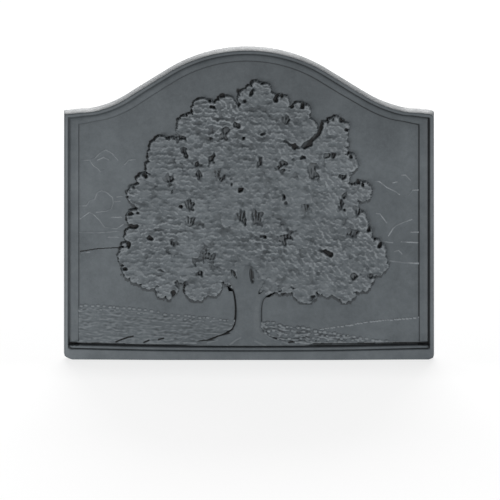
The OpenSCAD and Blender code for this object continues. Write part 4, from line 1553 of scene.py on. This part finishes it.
def bead(bm, start, end):
    """Adds a rippled weld bead that runs from start to end and tapers at both."""
    start = Vector(start)
    line = Vector(end) - start
    ring = bmesh.ops.create_circle(bm, segments=WELD_SIDES, radius=1)["verts"]
    turn = line.to_track_quat("Z", "Y").to_matrix().to_4x4()
    bmesh.ops.transform(bm, matrix=Matrix.Translation(start) @ turn, verts=ring)
    first = list({e for v in ring for e in v.link_edges})
    edges = first
    centre = start
    count = round(line.length / WELD_PITCH * WELD_RINGS)
    for k in range(1, count + 1):
        made, edges = drawn_out(bm, edges)
        last, centre = centre, start + line * (k / count)
        size = WELD_R * (1 + WELD_RIPPLE * math.sin(2 * math.pi * k / WELD_RINGS))
        if k == count:
            size *= WELD_TIP
        for v in made:
            v.co = centre + (v.co - last).normalized() * size
    bmesh.ops.edgeloop_fill(bm, edges=first)
    bmesh.ops.edgeloop_fill(bm, edges=edges)


def weld_beads(paint):
    """Weld beads along both sides of each gusset, where it meets its bar."""
    y, z = gusset_low.y, gusset_low.z
    for side, hand in (("left", 1), ("right", -1)):
        bm = bmesh.new()
        for x in (gusset_low.x * hand, gusset_high.x * hand):
            bead(bm, (x, y, z + WELD_START), (x, y, gusset_high.z - WELD_STOP))
            bead(bm, (x, y + WELD_START, z), (x, gusset_high.y - WELD_STOP, z))
        finished(side + "_weld_beads", bm, paint)


def steel_parts():
    """Gives the legs and fasteners, which stay as the CAD has them, their finishes."""
    paint = black_steel_finish()
    weld_beads(paint)
    bolt_zinc = zinc_finish("bolt_zinc", BOLT_ZINC)
    washer_zinc = zinc_finish("washer_zinc", WASHER_ZINC)
    for name, node in frame["nodes"].items():
        if "_leg_" in name:
            finish = paint
        elif name.endswith("_bolt"):
            finish = bolt_zinc
        elif name.endswith("_washer"):
            finish = washer_zinc
        else:
            continue
        node.data.materials.clear()
        node.data.materials.append(finish)


# ---- stage, lights and camera ----


def floor():
    """A wide pale floor that the camera sees as near white, with the shadows kept, and painted lighter
    towards the front.
    """
    f = Finish(bpy.data.materials.new("pale_floor"))
    matt = f.node("BsdfDiffuse", {}, {"Color": FLOOR_GREY})
    glow = f.node("Emission", {}, {"Color": WHITE, "Strength": FLOOR_GLOW})
    rays = f.node("LightPath", output="Is Camera Ray")
    depth = f.node("SeparateXYZ", {}, {0: f.place}, output=1)
    to_metre, most = FLOOR_PAINTED_GLOW_GROWTH
    painted_glow_growth = ((FLOOR_FRONT - depth) * to_metre).at_least(0).at_most(most)
    shader = f.node("MixShader", {}, {0: rays * (painted_glow_growth + FLOOR_SHARE), 1: matt, 2: glow})
    f.node("OutputMaterial", {}, {"Surface": shader})
    bm = bmesh.new()
    bmesh.ops.create_grid(bm, x_segments=1, y_segments=1, size=FLOOR_SIZE)
    ground = meshed("floor", bm, f.owner)
    ground.visible_shadow = False


def aimed(name, data, at, towards):
    """A lamp that stands at one point and shines towards another."""
    lamp = placed(name, data)
    lamp.location = at
    lamp.rotation_euler = (Vector(towards) - Vector(at)).to_track_quat("-Z", "Y").to_euler()
    return lamp


def softbox(name, at, towards, size, power):
    """A rectangular lamp that the camera doesn't see."""
    data = bpy.data.lights.new(name, "AREA")
    data.energy = power
    data.shape = "RECTANGLE"
    data.size, data.size_y = size
    aimed(name, data, at, towards).visible_camera = False


def sun(name, from_there, strength, spread):
    """A sun that shines from that direction."""
    data = bpy.data.lights.new(name, "SUN")
    data.energy = strength
    data.angle = math.radians(spread)
    aimed(name, data, from_there, (0, 0, 0))


def lights():
    """A key from low on the right, soft light from above, and a softbox behind for the top edge."""
    for name, settings in SUNS.items():
        sun(name, *settings)
    for name, settings in SOFTBOXES.items():
        softbox(name, *settings)


def world():
    """Weak light from all round, seen as white by the camera and in reflections."""
    f = Finish(bpy.data.worlds.new("studio"))
    bpy.context.scene.world = f.owner
    camera_ray = f.node("LightPath", output="Is Camera Ray")
    glossy_ray = f.node("LightPath", output="Is Glossy Ray")
    soft = f.node("Background", {}, {"Color": WHITE, "Strength": WORLD_LIGHT})
    white = f.node("Background", {}, {"Color": WHITE})
    mix = f.node("MixShader", {}, {0: camera_ray.at_least(glossy_ray), 1: soft, 2: white})
    f.node("OutputWorld", {}, {"Surface": mix})


def camera():
    """A camera without perspective, a little above level."""
    data = bpy.data.cameras.new("camera")
    data.type = "ORTHO"
    data.ortho_scale = VIEW_WIDTH
    eye = placed("camera", data)
    tilt = math.radians(VIEW_ELEVATION)
    back = Vector((0, -math.cos(tilt), math.sin(tilt)))
    eye.location = Vector(VIEW_CENTRE) * MM + back * VIEW_DISTANCE
    eye.rotation_euler = Matrix.Rotation(math.radians(90 - VIEW_ELEVATION), 3, "X").to_euler()
    bpy.context.scene.camera = eye


iron = iron_finish()
casting(iron)
crown(iron)
trunk(iron)
left_field(iron)
right_slope(iron)
scenery(iron)
steel_parts()
floor()
lights()
world()
camera()
bpy.context.scene.view_settings.view_transform = "Standard"
